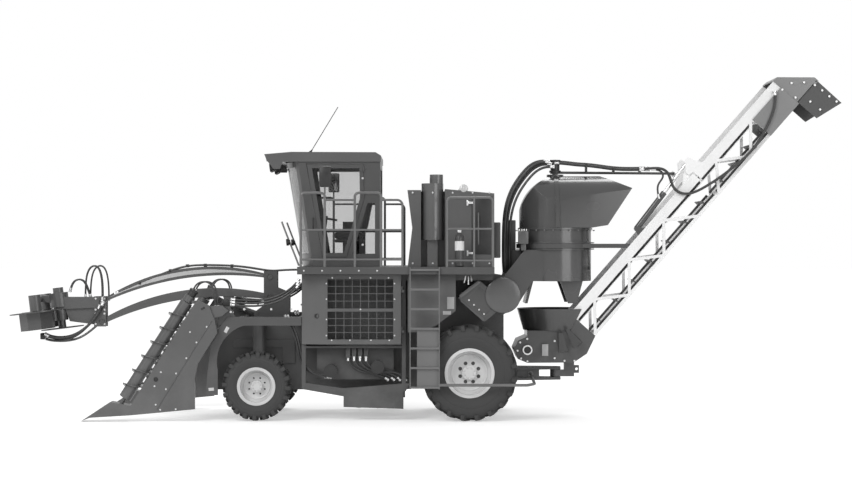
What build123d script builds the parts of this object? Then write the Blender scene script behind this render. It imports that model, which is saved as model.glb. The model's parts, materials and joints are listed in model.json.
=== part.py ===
from build123d import *

import os
from math import cos, degrees, hypot, pi, radians, sin, sqrt, tan

# A wheeled sugarcane harvester, in millimetres.
# The front points along -X, the left side along -Y, up is +Z.
os.makedirs("parts", exist_ok=True)

# Wheels
REAR_AXLE_X = 645
REAR_TYRE_R = 715
REAR_TYRE_W = 470
REAR_BEAD_R = 345
REAR_WHEEL_Y = 1095
FRONT_AXLE_X = -2520
FRONT_TYRE_R = 515
FRONT_TYRE_W = 380
FRONT_BEAD_R = 260
LUG_HEIGHT = 42
LUG_HALF = 32
BEAD_DEPTH = 0.28
REAR_LUGS = 14
FRONT_LUGS = 14
REAR_LUG_SLANT = 0.5
FRONT_WHEEL_Y = 1060
KINGPIN_Y = 720
KINGPIN_R = 59

# Frame
THROAT_IN = 480
THROAT_OUT = 510
BAY_FRONT_X = -1850
BAY_REAR_X = -300
BAY_FLOOR_Z = 1110
POST_IN = 1020
POST_OUT = 1120
ARCH_IN = 1060
ARCH_SKIN = 1150
ARCH_OUT = 1180
DECK_UNDER_Z = 2180
DECK_TOP_Z = 2290
DECK_HALF = 1420
DECK_FRONT_X = -1900
DECK_REAR_X = 1010
RAIL_Y = 1400
RAIL_R = 19

# Cab
CAB_HALF = 740
CAB_WALL = 45
CAB_FLOOR_Z = DECK_TOP_Z
CAB_TOP_Z = 3870
CAB_REAR_X = -690

# Slew axis of the elevator, extractor drum and hood
SLEW_X = 1995
DRUM_R = 555
DRUM_WALL = 12
DRUM_LOW_Z = 2064
DRUM_TOP_Z = 2880
HOOD_TOP_Z = 3680

# Elevator, measured along the slope (s) and square to it (t) from the foot of its top chord
ELEV_X = 2193
ELEV_Z = 1571
ELEV_ANGLE = 48.8
ELEV_DEPTH = 515
ELEV_HALF = 450
ELEV_SIDE = 20
BILLET_FLOOR_T = -200
CHAIN_RUNS_T = (-190, -475)
FOLD_S = 2815
FOLD_T = 57
LOWER_END_S = 2840
UPPER_START_S = 2860
HEAD_S = 4050
UPPER_END_S = 4700

# Topper
MAST_X = -2408
ARM_UPPER_Z = 2126
ARM_LOWER_Z = 1812
ARM_REACH = 2587
ARM_DROP = 379
ARM_CREST_X = -3699
ARM_HALF = 65
CHEEK_IN = 75
CHEEK_OUT = 105
ARM_PIN_R = 32
ARM_BOSS_R = 52
HEAD_TILT = 7
GATHER_X = -5925
GATHER_Z = 1455
GATHER_Y = 430

# Boom lift cylinder, from the foot of the mast to the lower arm
LIFT_LOW = (-2580, 1550)
LIFT_HIGH = (-3050, 1712)
LIFT_BARREL = 400
LIFT_BARREL_R = 36

# Hinges of the bay doors
BAY_HINGE_X = -358
BAY_HINGE_Y = 1230
BAY_HINGE_Z = (1350, 1950)
BAY_HINGE_PIN_R = 6

# Crop dividers
DIVIDER_IN = 1280
DIVIDER_OUT = 1320
DIVIDER_PIVOT = (-2990, 1640)
SCROLL_Y = 1180
SCROLL_LOW = (-4527, 262)
SCROLL_HIGH = (-3521, 1816)
SCROLL_TUBE_R = 92
SCROLL_FLIGHT_R = 150
SCROLL_PITCH = 250
FLIGHT_PLATES = 8

# Running gap between a turning piece and its seat
GAP = 0.5


def plate(outline, y_low, y_high, mode=Mode.ADD):
    """Extrudes an outline of (x, z) points from y_low to y_high."""
    with BuildSketch(Plane.XZ.offset(-y_low)) as profile:
        with BuildLine():
            Polyline(*outline, close=True)
        make_face()
    extrude(profile.sketch, amount=y_low - y_high, mode=mode)


def slab(outline, z_low, z_high, mode=Mode.ADD):
    """Extrudes an outline of (x, y) points from z_low to z_high."""
    with BuildSketch(Plane.XY.offset(z_low)) as profile:
        with BuildLine():
            Polyline(*outline, close=True)
        make_face()
    extrude(profile.sketch, amount=z_high - z_low, mode=mode)


def block(x, y, z, mode=Mode.ADD):
    """A box between pairs of limits."""
    with Locations(((x[0] + x[1]) / 2, (y[0] + y[1]) / 2, (z[0] + z[1]) / 2)):
        Box(x[1] - x[0], y[1] - y[0], z[1] - z[0], mode=mode)


def rod(start, end, radius, mode=Mode.ADD):
    """A round bar from one point to another."""
    axis = Vector(*end) - Vector(*start)
    with BuildSketch(Plane(start, z_dir=axis)) as ring:
        Circle(radius)
    extrude(ring.sketch, amount=axis.length, mode=mode)


def tube(points, radius, bend):
    """A round bar along straight runs joined by arcs."""
    with BuildLine() as path:
        FilletPolyline(*points, radius=bend)
    for run in path.line.edges():
        with BuildSketch(Plane(run @ 0, z_dir=run % 0)) as ring:
            Circle(radius)
        if run.geom_type == GeomType.LINE:
            extrude(ring.sketch, amount=run.length)
        else:
            turn = Axis(run.arc_center, (run % 0).cross(run % 1))
            revolve(ring.sketch, axis=turn, revolution_arc=degrees(run.length / bend))


SLOPE_U = (cos(radians(ELEV_ANGLE)), sin(radians(ELEV_ANGLE)))
SLOPE_RISE = SLOPE_U[1] / SLOPE_U[0]


def on_slope(s, t, y=0):
    """The point at s along and t square to the elevator's top chord."""
    return (ELEV_X + s * SLOPE_U[0] - t * SLOPE_U[1], y, ELEV_Z + s * SLOPE_U[1] + t * SLOPE_U[0])


def sloped(outline, y_low, y_high, mode=Mode.ADD):
    """Extrudes an outline of (s, t) points from y_low to y_high."""
    corners = []
    for s, t in outline:
        x, _, z = on_slope(s, t)
        corners.append((x, z))
    plate(corners, y_low, y_high, mode)


def strip(s, t, y, mode=Mode.ADD):
    """A box between pairs of limits in the elevator's own directions."""
    sloped([(s[0], t[0]), (s[1], t[0]), (s[1], t[1]), (s[0], t[1])], y[0], y[1], mode)


def bar(start, end, width, y_low, y_high):
    """A flat bar of the elevator's lattice between two (s, t) points."""
    run = Vector(end[0] - start[0], end[1] - start[1])
    side = Vector(-run.Y, run.X) * (width / 2 / run.length)
    sloped(
        [
            (start[0] + side.X, start[1] + side.Y),
            (end[0] + side.X, end[1] + side.Y),
            (end[0] - side.X, end[1] - side.Y),
            (start[0] - side.X, start[1] - side.Y),
        ],
        y_low,
        y_high,
    )


def both_sides(draw, low, high):
    """Calls a drawing function with the y limits of the left and of the right side."""
    draw(-high, -low)
    draw(low, high)


def write(piece, name):
    """Labels one piece and writes its file."""
    piece.part.label = name
    export_step(piece.part, f"parts/{name}.step")


# Main frame: throat walls, machinery bay, front arches, topper mast, wheel mounts and tail
THROAT_WALL = [
    (-3270, 420),
    (-3270, 1200),
    (-3030, 1500),
    (BAY_FRONT_X, 1500),
    (BAY_FRONT_X, BAY_FLOOR_Z - 30),
    (BAY_REAR_X, BAY_FLOOR_Z - 30),
    (BAY_REAR_X, DECK_UNDER_Z),
    (1000, DECK_UNDER_Z),
    (1180, DECK_UNDER_Z - 30),
    (1180, 900),
    (1060, 540),
    (300, 480),
    (-320, 420),
]
ARCH_FOOT_Z = 384
ARCH_FLANGE = [
    (-3272, 384),
    (-3250, 700),
    (-3190, 1230),
    (-2950, 1544),
    (BAY_FRONT_X, 1544),
    (BAY_FRONT_X, 1490),
    (-2925, 1490),
    (-3138, 1212),
    (-3198, 697),
    (-3220, 384),
]
ARCH_RIB = [(-2930, 1060), (-2930, 1180), (-1990, 1180), (-1990, 820), (-2177, 820), (-2177, 1060)]
LOWER_RAIL = [
    (BAY_FRONT_X, 470),
    (BAY_FRONT_X, 570),
    (-1219, 480),
    (-238, 560),
    (-300, 440),
    (-1219, 360),
]
MAST_CHEEK = [
    (-2650, 1490),
    (-2650, 1580),
    (-2500, 1690),
    (-2500, 2214),
    (-2290, 2214),
    (-2290, 1960),
    (-2100, 1880),
    (-2100, 1490),
]
OUTRIGGERS = [(-2920, -2830), (-1980, BAY_FRONT_X)]
DIVIDER_BRACKET = [(-3110, 1400), (-3060, 1700), (-2920, 1700), (-2840, 1540)]
KNOCKDOWN = (-3050, 1330)
FEED_ROLLER = (-2840, 800)
ROLLER_SHAFT_R = 40
CUTTER_X = -795
CUTTER_Y = 320
with BuildPart() as main_frame:
    both_sides(lambda low, high: plate(THROAT_WALL, low, high), THROAT_IN, THROAT_OUT)
    both_sides(lambda low, high: plate(ARCH_RIB, low, high), THROAT_OUT, THROAT_OUT + 25)
    # Cross members between the throat walls
    block((-2650, -2100), (-THROAT_IN, THROAT_IN), (1440, 1500))
    for x_front, x_rear in OUTRIGGERS:
        block((x_front, x_rear), (-THROAT_IN, THROAT_IN), (1430, 1500))
    block((900, 1000), (-THROAT_IN, THROAT_IN), (2110, DECK_UNDER_Z))
    block((300, 360), (-THROAT_IN, THROAT_IN), (1900, DECK_UNDER_Z))
    block((1150, 1180), (-THROAT_IN, THROAT_IN), (900, 1500))
    # Base cutter gearbox with its two legs
    block((CUTTER_X - 300, CUTTER_X + 300), (-THROAT_IN, THROAT_IN), (440, 560))
    for y in (-CUTTER_Y, CUTTER_Y):
        rod((CUTTER_X, y, 440), (CUTTER_X, y, 185), 120)
    # Rear axle tube and final drives
    for side in (-1, 1):
        rod((REAR_AXLE_X, 0, REAR_TYRE_R), (REAR_AXLE_X, side * 900, REAR_TYRE_R), 150)
        rod((REAR_AXLE_X, side * 860, REAR_TYRE_R), (REAR_AXLE_X, side * (REAR_WHEEL_Y - 19 - GAP), REAR_TYRE_R), 230)
        # Steering pivot housings
        rod((FRONT_AXLE_X, side * KINGPIN_Y, 640), (FRONT_AXLE_X, side * KINGPIN_Y, 1480), 95)
        arm = sorted((side * THROAT_OUT, side * KINGPIN_Y))
        block((FRONT_AXLE_X - 80, FRONT_AXLE_X + 80), arm, (800, 1480))
        rod(
            (FRONT_AXLE_X, side * KINGPIN_Y, 640),
            (FRONT_AXLE_X, side * KINGPIN_Y, 1200),
            KINGPIN_R + GAP,
            Mode.SUBTRACT,
        )
    # Topper mast with the seats of the two arms and of the lift cylinder
    both_sides(lambda low, high: plate(MAST_CHEEK, low, high), CHEEK_IN, CHEEK_OUT)
    for z in (ARM_UPPER_Z, ARM_LOWER_Z):
        rod((MAST_X, -CHEEK_OUT, z), (MAST_X, CHEEK_OUT, z), ARM_PIN_R + GAP, Mode.SUBTRACT)
    rod((LIFT_LOW[0], -CHEEK_OUT, LIFT_LOW[1]), (LIFT_LOW[0], CHEEK_OUT, LIFT_LOW[1]), 25 + GAP, Mode.SUBTRACT)
    # Roller bearings in the throat walls
    for x, z in (KNOCKDOWN, FEED_ROLLER):
        rod((x, -THROAT_OUT, z), (x, THROAT_OUT, z), ROLLER_SHAFT_R + GAP, Mode.SUBTRACT)
    # Tail with the two plates of the slew pivot
    block((900, 1000), (-THROAT_OUT, THROAT_OUT), (540, 740))
    block((950, 1740), (-180, 180), (575, 705))
    for z_low in (540, 700):
        slab([(950, -300), (1720, -180), (2075, -90), (2075, 90), (1720, 180), (950, 300)], z_low, z_low + 40)
    rod((SLEW_X, 0, 500), (SLEW_X, 0, 760), 45 + GAP, Mode.SUBTRACT)
write(main_frame, "main_frame")


def arch_skin(y_low, y_high):
    """The side plate of a front arch, with a curved inner edge round the wheel."""
    with BuildSketch(Plane.XZ.offset(-y_low)) as skin:
        with BuildLine():
            Polyline((-3093, ARCH_FOOT_Z), (-3272, ARCH_FOOT_Z), (-3250, 700), (-3190, 1230), (-2950, 1544))
            Polyline((-2950, 1544), (BAY_FRONT_X, 1544), (BAY_FRONT_X, 1417), (-2700, 1417))
            ThreePointArc((-2700, 1417), (-2985, 1230), (-3093, 760))
            Line((-3093, 760), (-3093, ARCH_FOOT_Z))
        make_face()
    extrude(skin.sketch, amount=y_low - y_high)


# Front wheel arches: skin, folded edge, outriggers from the throat walls and the divider brackets
with BuildPart() as front_arches:
    both_sides(arch_skin, ARCH_SKIN, ARCH_OUT)
    both_sides(lambda low, high: plate(ARCH_FLANGE, low, high), ARCH_IN, ARCH_OUT)
    for x_front, x_rear in OUTRIGGERS:
        both_sides(lambda low, high: block((x_front, x_rear), (low, high), (1430, 1500)), THROAT_OUT, ARCH_OUT)
    both_sides(lambda low, high: plate(DIVIDER_BRACKET, low, high), ARCH_IN + 30, ARCH_IN + 100)
    rod(
        (DIVIDER_PIVOT[0], -ARCH_OUT, DIVIDER_PIVOT[1]),
        (DIVIDER_PIVOT[0], ARCH_OUT, DIVIDER_PIVOT[1]),
        40 + GAP,
        Mode.SUBTRACT,
    )
write(front_arches, "front_arches")

SKIRT = [(-1228, 390), (-335, 470), (-335, 174), (-1228, 202)]

# Machinery bay: floor, bulkheads, posts, rails and the hinge lugs of the side doors
with BuildPart() as bay_frame:
    block((BAY_FRONT_X, BAY_REAR_X), (-POST_OUT, POST_OUT), (BAY_FLOOR_Z - 30, BAY_FLOOR_Z))
    for x_front in (BAY_FRONT_X, BAY_REAR_X - 20):
        block((x_front, x_front + 20), (-POST_OUT, POST_OUT), (BAY_FLOOR_Z - 10, DECK_UNDER_Z))
    both_sides(
        lambda low, high: block((BAY_FRONT_X, BAY_REAR_X), (low, high), (BAY_FLOOR_Z - 10, DECK_UNDER_Z)),
        THROAT_IN,
        THROAT_OUT,
    )
    both_sides(lambda low, high: plate(LOWER_RAIL, low, high), POST_IN, POST_OUT)
    both_sides(lambda low, high: plate(SKIRT, low, high), POST_OUT - 12, POST_OUT)
    for x_front in (BAY_FRONT_X, BAY_REAR_X - 60):
        both_sides(
            lambda low, high: block((x_front, x_front + 60), (low, high), (480, DECK_UNDER_Z)), POST_IN, POST_OUT
        )
    both_sides(
        lambda low, high: block((BAY_FRONT_X, 1000), (low, high), (2090, DECK_UNDER_Z)), POST_IN, POST_OUT
    )
    both_sides(lambda low, high: block((900, 1000), (low, high), (2110, DECK_UNDER_Z)), THROAT_OUT, POST_OUT)
    for side in (-1, 1):
        for z in BAY_HINGE_Z:
            block((BAY_HINGE_X - 6, -322), sorted((side * POST_OUT, side * (BAY_HINGE_Y + 6))), (z - 40, z - GAP))
            pin_foot = (BAY_HINGE_X, side * BAY_HINGE_Y)
            rod((*pin_foot, z - 20), (*pin_foot, z + 50), BAY_HINGE_PIN_R)
write(bay_frame, "bay_frame")

# Chopper housing with a round drive cover on each side
CHOPPER_BOX = [(797, 2085), (475, 1828), (873, 1470), (1195, 1743)]
CHOPPER_ROOM = [(797, 2060), (500, 1826), (873, 1492), (1172, 1745)]
with BuildPart() as chopper_housing:
    both_sides(lambda low, high: plate(CHOPPER_BOX, low, high), THROAT_OUT, 1150)
    for side in (-1, 1):
        rod((1142, side * THROAT_OUT, 1862), (1142, side * 1150, 1862), 240)
    both_sides(lambda low, high: plate(CHOPPER_ROOM, low, high, Mode.SUBTRACT), THROAT_OUT, 1135)
    for side in (-1, 1):
        rod((1142, side * THROAT_OUT, 1862), (1142, side * 1135, 1862), 225, Mode.SUBTRACT)
        rod((1142, side * 1140, 1862), (1142, side * 1180, 1862), 170)
write(chopper_housing, "chopper_housing")

# Cleaning chamber: open drum, two flanges that guide the slew collar, front carriers and rear skirt
CHAMBER_CARRIER = [(1180, 1560), (1385, 1690), (1620, 2066), (1790, 2066), (1790, 2540), (1500, 2540), (1180, 2140)]
with BuildPart() as cleaning_chamber:
    both_sides(lambda low, high: plate(CHAMBER_CARRIER, low, high), THROAT_IN, THROAT_OUT)
    rod((SLEW_X, 0, DRUM_LOW_Z), (SLEW_X, 0, DRUM_TOP_Z), DRUM_R)
    for z_low in (2545, 2645):
        rod((SLEW_X, 0, z_low), (SLEW_X, 0, z_low + 15), DRUM_R + 50)
    rod((SLEW_X, 0, DRUM_TOP_Z - 30), (SLEW_X, 0, DRUM_TOP_Z), DRUM_R + 20)
    both_sides(
        lambda low, high: plate([(2045, 2070), (2395, 2070), (2304, 1725), (2167, 1725)], low, high), 370, 390
    )
    plate([(2375, 2070), (2395, 2070), (2304, 1725), (2284, 1725)], -380, 380)
    plate([(1600, 2070), (1640, 2070), (1551, 1725), (1511, 1725)], -380, 380)
    rod((SLEW_X, 0, DRUM_LOW_Z), (SLEW_X, 0, DRUM_TOP_Z), DRUM_R - DRUM_WALL, Mode.SUBTRACT)
write(cleaning_chamber, "cleaning_chamber")


def hood_shape(inset, reach, mode):
    """The extractor hood as seen from the side, from above and from behind, drawn in by an inset."""
    left = SLEW_X - DRUM_R - 20
    top = HOOD_TOP_Z - inset
    low = DRUM_TOP_Z + GAP
    half = DRUM_R - inset
    with BuildSketch(Plane.XZ) as side_view:
        with BuildLine():
            Polyline(
                (left, 3010),
                (left, low),
                (2530 - inset, low),
                (2768 + reach, 2918 + inset + 0.16 * reach),
                (3144 + reach, 3485 - inset - 0.365 * reach),
                (2610, top + 25),
                (2000, top + 25),
            )
            ThreePointArc((2000, top + 25), (1620 + inset * 0.7, 3480 - inset * 0.7), (left, 3010))
        make_face()
    with BuildSketch(Plane.XY.offset(low)) as plan_view:
        with BuildLine():
            Polyline((SLEW_X, -half), (3300, inset - 430), (3300, 430 - inset), (SLEW_X, half))
            ThreePointArc((SLEW_X, half), (SLEW_X - half, 0), (SLEW_X, -half))
        make_face()
    with BuildSketch(Plane.YZ.offset(left)) as end_view:
        with BuildLine():
            Polyline((-half - 20, 3100), (-half - 20, low), (half + 20, low), (half + 20, 3100))
            ThreePointArc((half + 20, 3100), (0, top), (-half - 20, 3100))
        make_face()
    # The three views are extruded apart from the piece, and what they share is added or cut
    from_side = extrude(side_view.sketch, amount=DRUM_R + 60, both=True, mode=Mode.PRIVATE)
    from_above = extrude(plan_view.sketch, amount=1000, mode=Mode.PRIVATE)
    from_behind = extrude(end_view.sketch, amount=2000, mode=Mode.PRIVATE)
    add(from_side & from_above & from_behind, mode=mode)


# Extractor hood with its strap and the fan motor on top
with BuildPart() as extractor_hood:
    hood_shape(0, 0, Mode.ADD)
    for side in (-1, 1):
        strap = sorted((side * (DRUM_R - 8), side * (DRUM_R + 32)))
        block((SLEW_X - 30, SLEW_X + 30), strap, (DRUM_TOP_Z + 2, 3110))
    with BuildSketch(Plane.YZ.offset(SLEW_X - 30)) as strap_arch:
        with BuildLine():
            ThreePointArc((DRUM_R + 32, 3100), (0, HOOD_TOP_Z + 14), (-DRUM_R - 32, 3100))
            Line((-DRUM_R - 32, 3100), (DRUM_R + 32, 3100))
        make_face()
    extrude(amount=60)
    rod((SLEW_X, 0, HOOD_TOP_Z - 20), (SLEW_X, 0, HOOD_TOP_Z + 22), 130)
    rod((SLEW_X, 0, HOOD_TOP_Z), (SLEW_X, 0, HOOD_TOP_Z + 130), 45)
    hood_shape(12, 60, Mode.SUBTRACT)
    rod((SLEW_X, 0, HOOD_TOP_Z - 60 + GAP), (SLEW_X, 0, HOOD_TOP_Z), 70)
write(extractor_hood, "extractor_hood")

# Extractor fan: shaft, hub and four pitched blades
with BuildPart() as extractor_fan:
    rod((SLEW_X, 0, 2640), (SLEW_X, 0, HOOD_TOP_Z - 60), 35)
    rod((SLEW_X, 0, 2640), (SLEW_X, 0, 2760), 140)
    for turn in range(4):
        out = Plane((SLEW_X, 0, 2700)).rotated((0, 0, 90 * turn))
        with BuildSketch(Plane(out.origin, x_dir=out.y_dir, z_dir=out.x_dir)):
            Rectangle(220, 14, rotation=30)
        extrude(amount=DRUM_R - DRUM_WALL - 18)
write(extractor_fan, "extractor_fan")

# Elevator foot: tail drum, bowl under the chamber, fan-shaped bend and the arm down to the slew pivot
BOWL_TOP_Z = 1642
BOWL_LOW_Z = 1311
FOOT = [
    (1541, BOWL_LOW_Z),
    (1541, 1220),
    (1400, 1161),
    (1341, 1020),
    (1400, 879),
    (1541, 820),
    (2250, 825),
]
BEND_POCKETS = [
    [(1992, 1286), (2060, 1286), (2182, 986), (2019, 972)],
    [(2100, 1340), (2162, 1353), (2386, 1135), (2278, 1033)],
]
with BuildPart() as elevator_foot:
    with BuildSketch(Plane.XZ):
        with BuildLine():
            Polyline(
                (SLEW_X + 495, BOWL_LOW_Z),
                (SLEW_X + 590, BOWL_TOP_Z),
                (SLEW_X + 578, BOWL_TOP_Z),
                (SLEW_X + 483, BOWL_LOW_Z),
                close=True,
            )
        make_face()
    revolve(axis=Axis((SLEW_X, 0, 0), (0, 0, 1)))
    # The bowl opens into the elevator's trough
    block((2060, 2700), (-ELEV_HALF - 5, ELEV_HALF + 5), (BOWL_LOW_Z, BOWL_TOP_Z), Mode.SUBTRACT)
    foot_low = on_slope(0, -ELEV_DEPTH)
    foot_bend = on_slope(0, -220)
    bend = [(foot_low[0] - 130, 960), (foot_low[0], foot_low[2]), (foot_bend[0], foot_bend[2]), (2200, BOWL_LOW_Z)]
    plate(FOOT + bend, -ELEV_HALF, ELEV_HALF)
    block((1600, 2180), (-ELEV_HALF + 20, ELEV_HALF - 20), (840, 1250), Mode.SUBTRACT)
    block((1700, 2100), (-ELEV_HALF + 120, ELEV_HALF - 120), (1240, BOWL_LOW_Z), Mode.SUBTRACT)
    both_sides(
        lambda low, high: sloped([(0, -220), (0, -1), (-140, -60), (-190, -230)], low, high),
        ELEV_HALF - ELEV_SIDE,
        ELEV_HALF,
    )
    for pocket in BEND_POCKETS:
        both_sides(lambda low, high: plate(pocket, low, high, Mode.SUBTRACT), ELEV_HALF - 12, ELEV_HALF + 5)
    rod((SLEW_X, 0, 546), (SLEW_X, 0, 734), 45)
    rod((SLEW_X, 0, 584), (SLEW_X, 0, 696), 78)
    block((SLEW_X, 2285), (-70, 70), (590, 690))
    block((2130, 2285), (-70, 70), (640, 826))
    block((2270, 2364), (-20, 20), (640, 760))
    rod((2327, -20, 702), (2327, 20, 702), 22, Mode.SUBTRACT)
write(elevator_foot, "elevator_foot")


def truss(s_start, s_end, first_node, nodes):
    """Two lattice sides, the billet floor and the cross bars of one elevator section."""
    both_sides(
        lambda low, high: strip((s_start, s_end), (-150, 0), (low, high)), ELEV_HALF - ELEV_SIDE, ELEV_HALF
    )
    both_sides(
        lambda low, high: strip((s_start, s_end), (-ELEV_DEPTH, -ELEV_DEPTH + 40), (low, high)),
        ELEV_HALF - ELEV_SIDE,
        ELEV_HALF,
    )
    for count in range(nodes):
        top = first_node + 800 * count
        for run in (-400, 400):
            end = min(max(top + run, s_start + 20), s_end - 20)
            low_t = -ELEV_DEPTH + 20
            both_sides(
                lambda low, high: bar((top, -140), (end, low_t), 45, low, high),
                ELEV_HALF - ELEV_SIDE,
                ELEV_HALF,
            )
    strip((s_start, s_end), (BILLET_FLOOR_T, BILLET_FLOOR_T + 10), (-ELEV_HALF, ELEV_HALF))
    for s in (s_start + 30, (s_start + s_end) / 2, s_end - 30):
        strip((s - 20, s + 20), (-ELEV_DEPTH, -ELEV_DEPTH + 40), (-ELEV_HALF, ELEV_HALF))


def slats(s_start, s_end, count):
    """Chain strands and cross slats of one elevator section, upper run and return run."""
    pitch = (s_end - s_start) / count
    for t_low in CHAIN_RUNS_T:
        for side in (-1, 1):
            strip((s_start, s_end), (t_low + GAP, t_low + 35), sorted((side * 330, side * 370)))
        for number in range(count):
            s = s_start + pitch * (number + 0.5)
            strip((s - 6, s + 6), (t_low + 35, t_low + 90), (-410, 410))


# Lower elevator section
with BuildPart() as elevator_lower:
    truss(0, LOWER_END_S, 410, 3)
    both_sides(
        lambda low, high: sloped([(2560, -30), (2740, 102), (2770, 102), (2770, -30)], low, high),
        ELEV_HALF - ELEV_SIDE - 30,
        ELEV_HALF - ELEV_SIDE,
    )
    both_sides(
        lambda low, high: sloped([(2770, 102), (2860, 102), (2860, 15), (2838, -30), (2770, -30)], low, high),
        ELEV_HALF - ELEV_SIDE - 30,
        ELEV_HALF - ELEV_SIDE - 6,
    )
    sloped([(2680, 40), (2700, 195), (2760, 195), (2770, 100)], ELEV_HALF - ELEV_SIDE - 30, ELEV_HALF - ELEV_SIDE)
    pin = on_slope(FOLD_S, FOLD_T)
    rod((pin[0], -ELEV_HALF, pin[2]), (pin[0], ELEV_HALF, pin[2]), 25 + GAP, Mode.SUBTRACT)
write(elevator_lower, "elevator_lower")

with BuildPart() as slats_lower:
    slats(25, LOWER_END_S - 20, 7)
write(slats_lower, "slats_lower")

# Upper elevator section, which folds about the pin above the top chord
with BuildPart() as elevator_upper:
    truss(UPPER_START_S, UPPER_END_S, 3220, 2)
    # Hinge plates, which rise to the lever of the fold cylinder
    both_sides(
        lambda low, high: sloped(
            [
                (2780, 30),
                (2780, 92),
                (2900, 215),
                (2985, 215),
                (3000, 120),
                (3080, -30),
                (2862, -30),
                (2862, 3),
            ],
            low,
            high,
        ),
        ELEV_HALF - ELEV_SIDE + 6,
        ELEV_HALF,
    )
    both_sides(
        lambda low, high: rod((pin[0], low, pin[2]), (pin[0], high, pin[2]), 25),
        ELEV_HALF - ELEV_SIDE - 30,
        ELEV_HALF,
    )
write(elevator_upper, "elevator_upper")

with BuildPart() as slats_upper:
    slats(UPPER_START_S + 20, UPPER_END_S - 40, 5)
write(slats_upper, "slats_upper")

# Head of the elevator: side boxes, hood over the discharge and the ears of the flap hinge
FLAP_S = 5130
FLAP_T = -490
FLAP_PIN_R = 14
with BuildPart() as elevator_head:
    both_sides(
        lambda low, high: strip((HEAD_S, UPPER_END_S), (-ELEV_DEPTH, -145), (low, high)), ELEV_HALF, ELEV_HALF + 40
    )
    both_sides(
        lambda low, high: sloped(
            [(4700, 0), (4777, -10), (5160, -440), (5160, -515), (5100, -515), (5070, -480), (4700, -480)], low, high
        ),
        ELEV_HALF,
        ELEV_HALF + 15,
    )
    sloped([(4702, 12), (4785, 0), (5158, -430), (5148, -445), (4777, -15), (4702, -3)], -ELEV_HALF - 15, ELEV_HALF + 15)
    both_sides(
        lambda low, high: strip((4650, 4750), (-480, -300), (low, high)), ELEV_HALF, ELEV_HALF + 15
    )
    flap_pin = on_slope(FLAP_S, FLAP_T)
    rod(
        (flap_pin[0], -ELEV_HALF - 15, flap_pin[2]),
        (flap_pin[0], ELEV_HALF + 15, flap_pin[2]),
        FLAP_PIN_R + GAP,
        Mode.SUBTRACT,
    )
write(elevator_head, "elevator_head")

# Bin flap, hinged at the end of the head
with BuildPart() as bin_flap:
    both_sides(
        lambda low, high: sloped(
            [(4715, -490), (5150, -490), (5150, -520), (5141, -1000), (4715, -869)], low, high
        ),
        ELEV_HALF - 20,
        ELEV_HALF - 5,
    )
    sloped([(5132, -490), (5150, -490), (5141, -1000), (5123, -995)], -ELEV_HALF + 10, ELEV_HALF - 10)
    rod((flap_pin[0], -ELEV_HALF + 5, flap_pin[2]), (flap_pin[0], ELEV_HALF - 5, flap_pin[2]), 22)
    rod((flap_pin[0], -ELEV_HALF - 15, flap_pin[2]), (flap_pin[0], ELEV_HALF + 15, flap_pin[2]), FLAP_PIN_R)
write(bin_flap, "bin_flap")

# Slew collar between the drum flanges, its two struts to the elevator, and the hose arm over the hood
with BuildPart() as slew_links:
    rod((SLEW_X, 0, 2566), (SLEW_X, 0, 2639), DRUM_R + 45)
    rod((SLEW_X, 0, 2566), (SLEW_X, 0, 2639), DRUM_R + 5, Mode.SUBTRACT)
    for side in (-1, 1):
        strut = sorted((side * (ELEV_HALF - ELEV_SIDE), side * ELEV_HALF))
        chord_x = ELEV_X + (2600 - ELEV_Z) / SLOPE_RISE
        plate([(2390, 2570), (2390, 2635), (chord_x + 35 / SLOPE_RISE, 2635), (chord_x - 30 / SLOPE_RISE, 2570)], *strut)
    arm_end = on_slope(2730, 168, ELEV_HALF - ELEV_SIDE - 55)
    arm_z = arm_end[2]
    rod((SLEW_X, 0, arm_z - 20), (SLEW_X, 0, arm_z + 20), 75)
    rod((SLEW_X + 40, 0, arm_z), arm_end, 20)
    block(
        (arm_end[0] - 25, arm_end[0] + 25),
        (ELEV_HALF - ELEV_SIDE - 60, ELEV_HALF - ELEV_SIDE - 30),
        (arm_z - 22, arm_z + 22),
    )
    rod((SLEW_X, 0, arm_z - 25), (SLEW_X, 0, arm_z + 25), 45 + GAP, Mode.SUBTRACT)
write(slew_links, "slew_links")

# Fold cylinder of the elevator
CYLINDER_LOW = (1640, 85)
CYLINDER_HIGH = (2941, 171)
CYLINDER_Y = -400


def on_cylinder(distance):
    """The point on the fold cylinder's axis at a distance from its lower eye."""
    run = Vector(CYLINDER_HIGH[0] - CYLINDER_LOW[0], CYLINDER_HIGH[1] - CYLINDER_LOW[1]).normalized()
    return on_slope(CYLINDER_LOW[0] + run.X * distance, CYLINDER_LOW[1] + run.Y * distance, CYLINDER_Y)


with BuildPart() as fold_cylinder:
    rod(on_cylinder(0), on_cylinder(700), 45)
    sloped([(1580, 0), (1620, 125), (1670, 125), (1720, 0)], -ELEV_HALF, -ELEV_HALF + ELEV_SIDE)
    foot_eye = on_slope(*CYLINDER_LOW)
    rod((foot_eye[0], -ELEV_HALF, foot_eye[2]), (foot_eye[0], CYLINDER_Y + 40, foot_eye[2]), 35)
    rod(on_cylinder(60), on_cylinder(700), 25 + GAP, Mode.SUBTRACT)
write(fold_cylinder, "fold_cylinder")

with BuildPart() as fold_rod:
    rod(on_cylinder(400), on_cylinder(1290), 25)
    eye = on_slope(CYLINDER_HIGH[0], CYLINDER_HIGH[1])
    rod((eye[0], CYLINDER_Y - 20, eye[2]), (eye[0], CYLINDER_Y + 20, eye[2]), 42)
write(fold_rod, "fold_rod")


def wheel_plane(axle_x, centre_y, radius):
    """The plane through the axle in which a wheel's section is drawn, as (across, radius)."""
    return Plane((axle_x, centre_y, radius), x_dir=(0, 1, 0), z_dir=(1, 0, 0))


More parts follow.
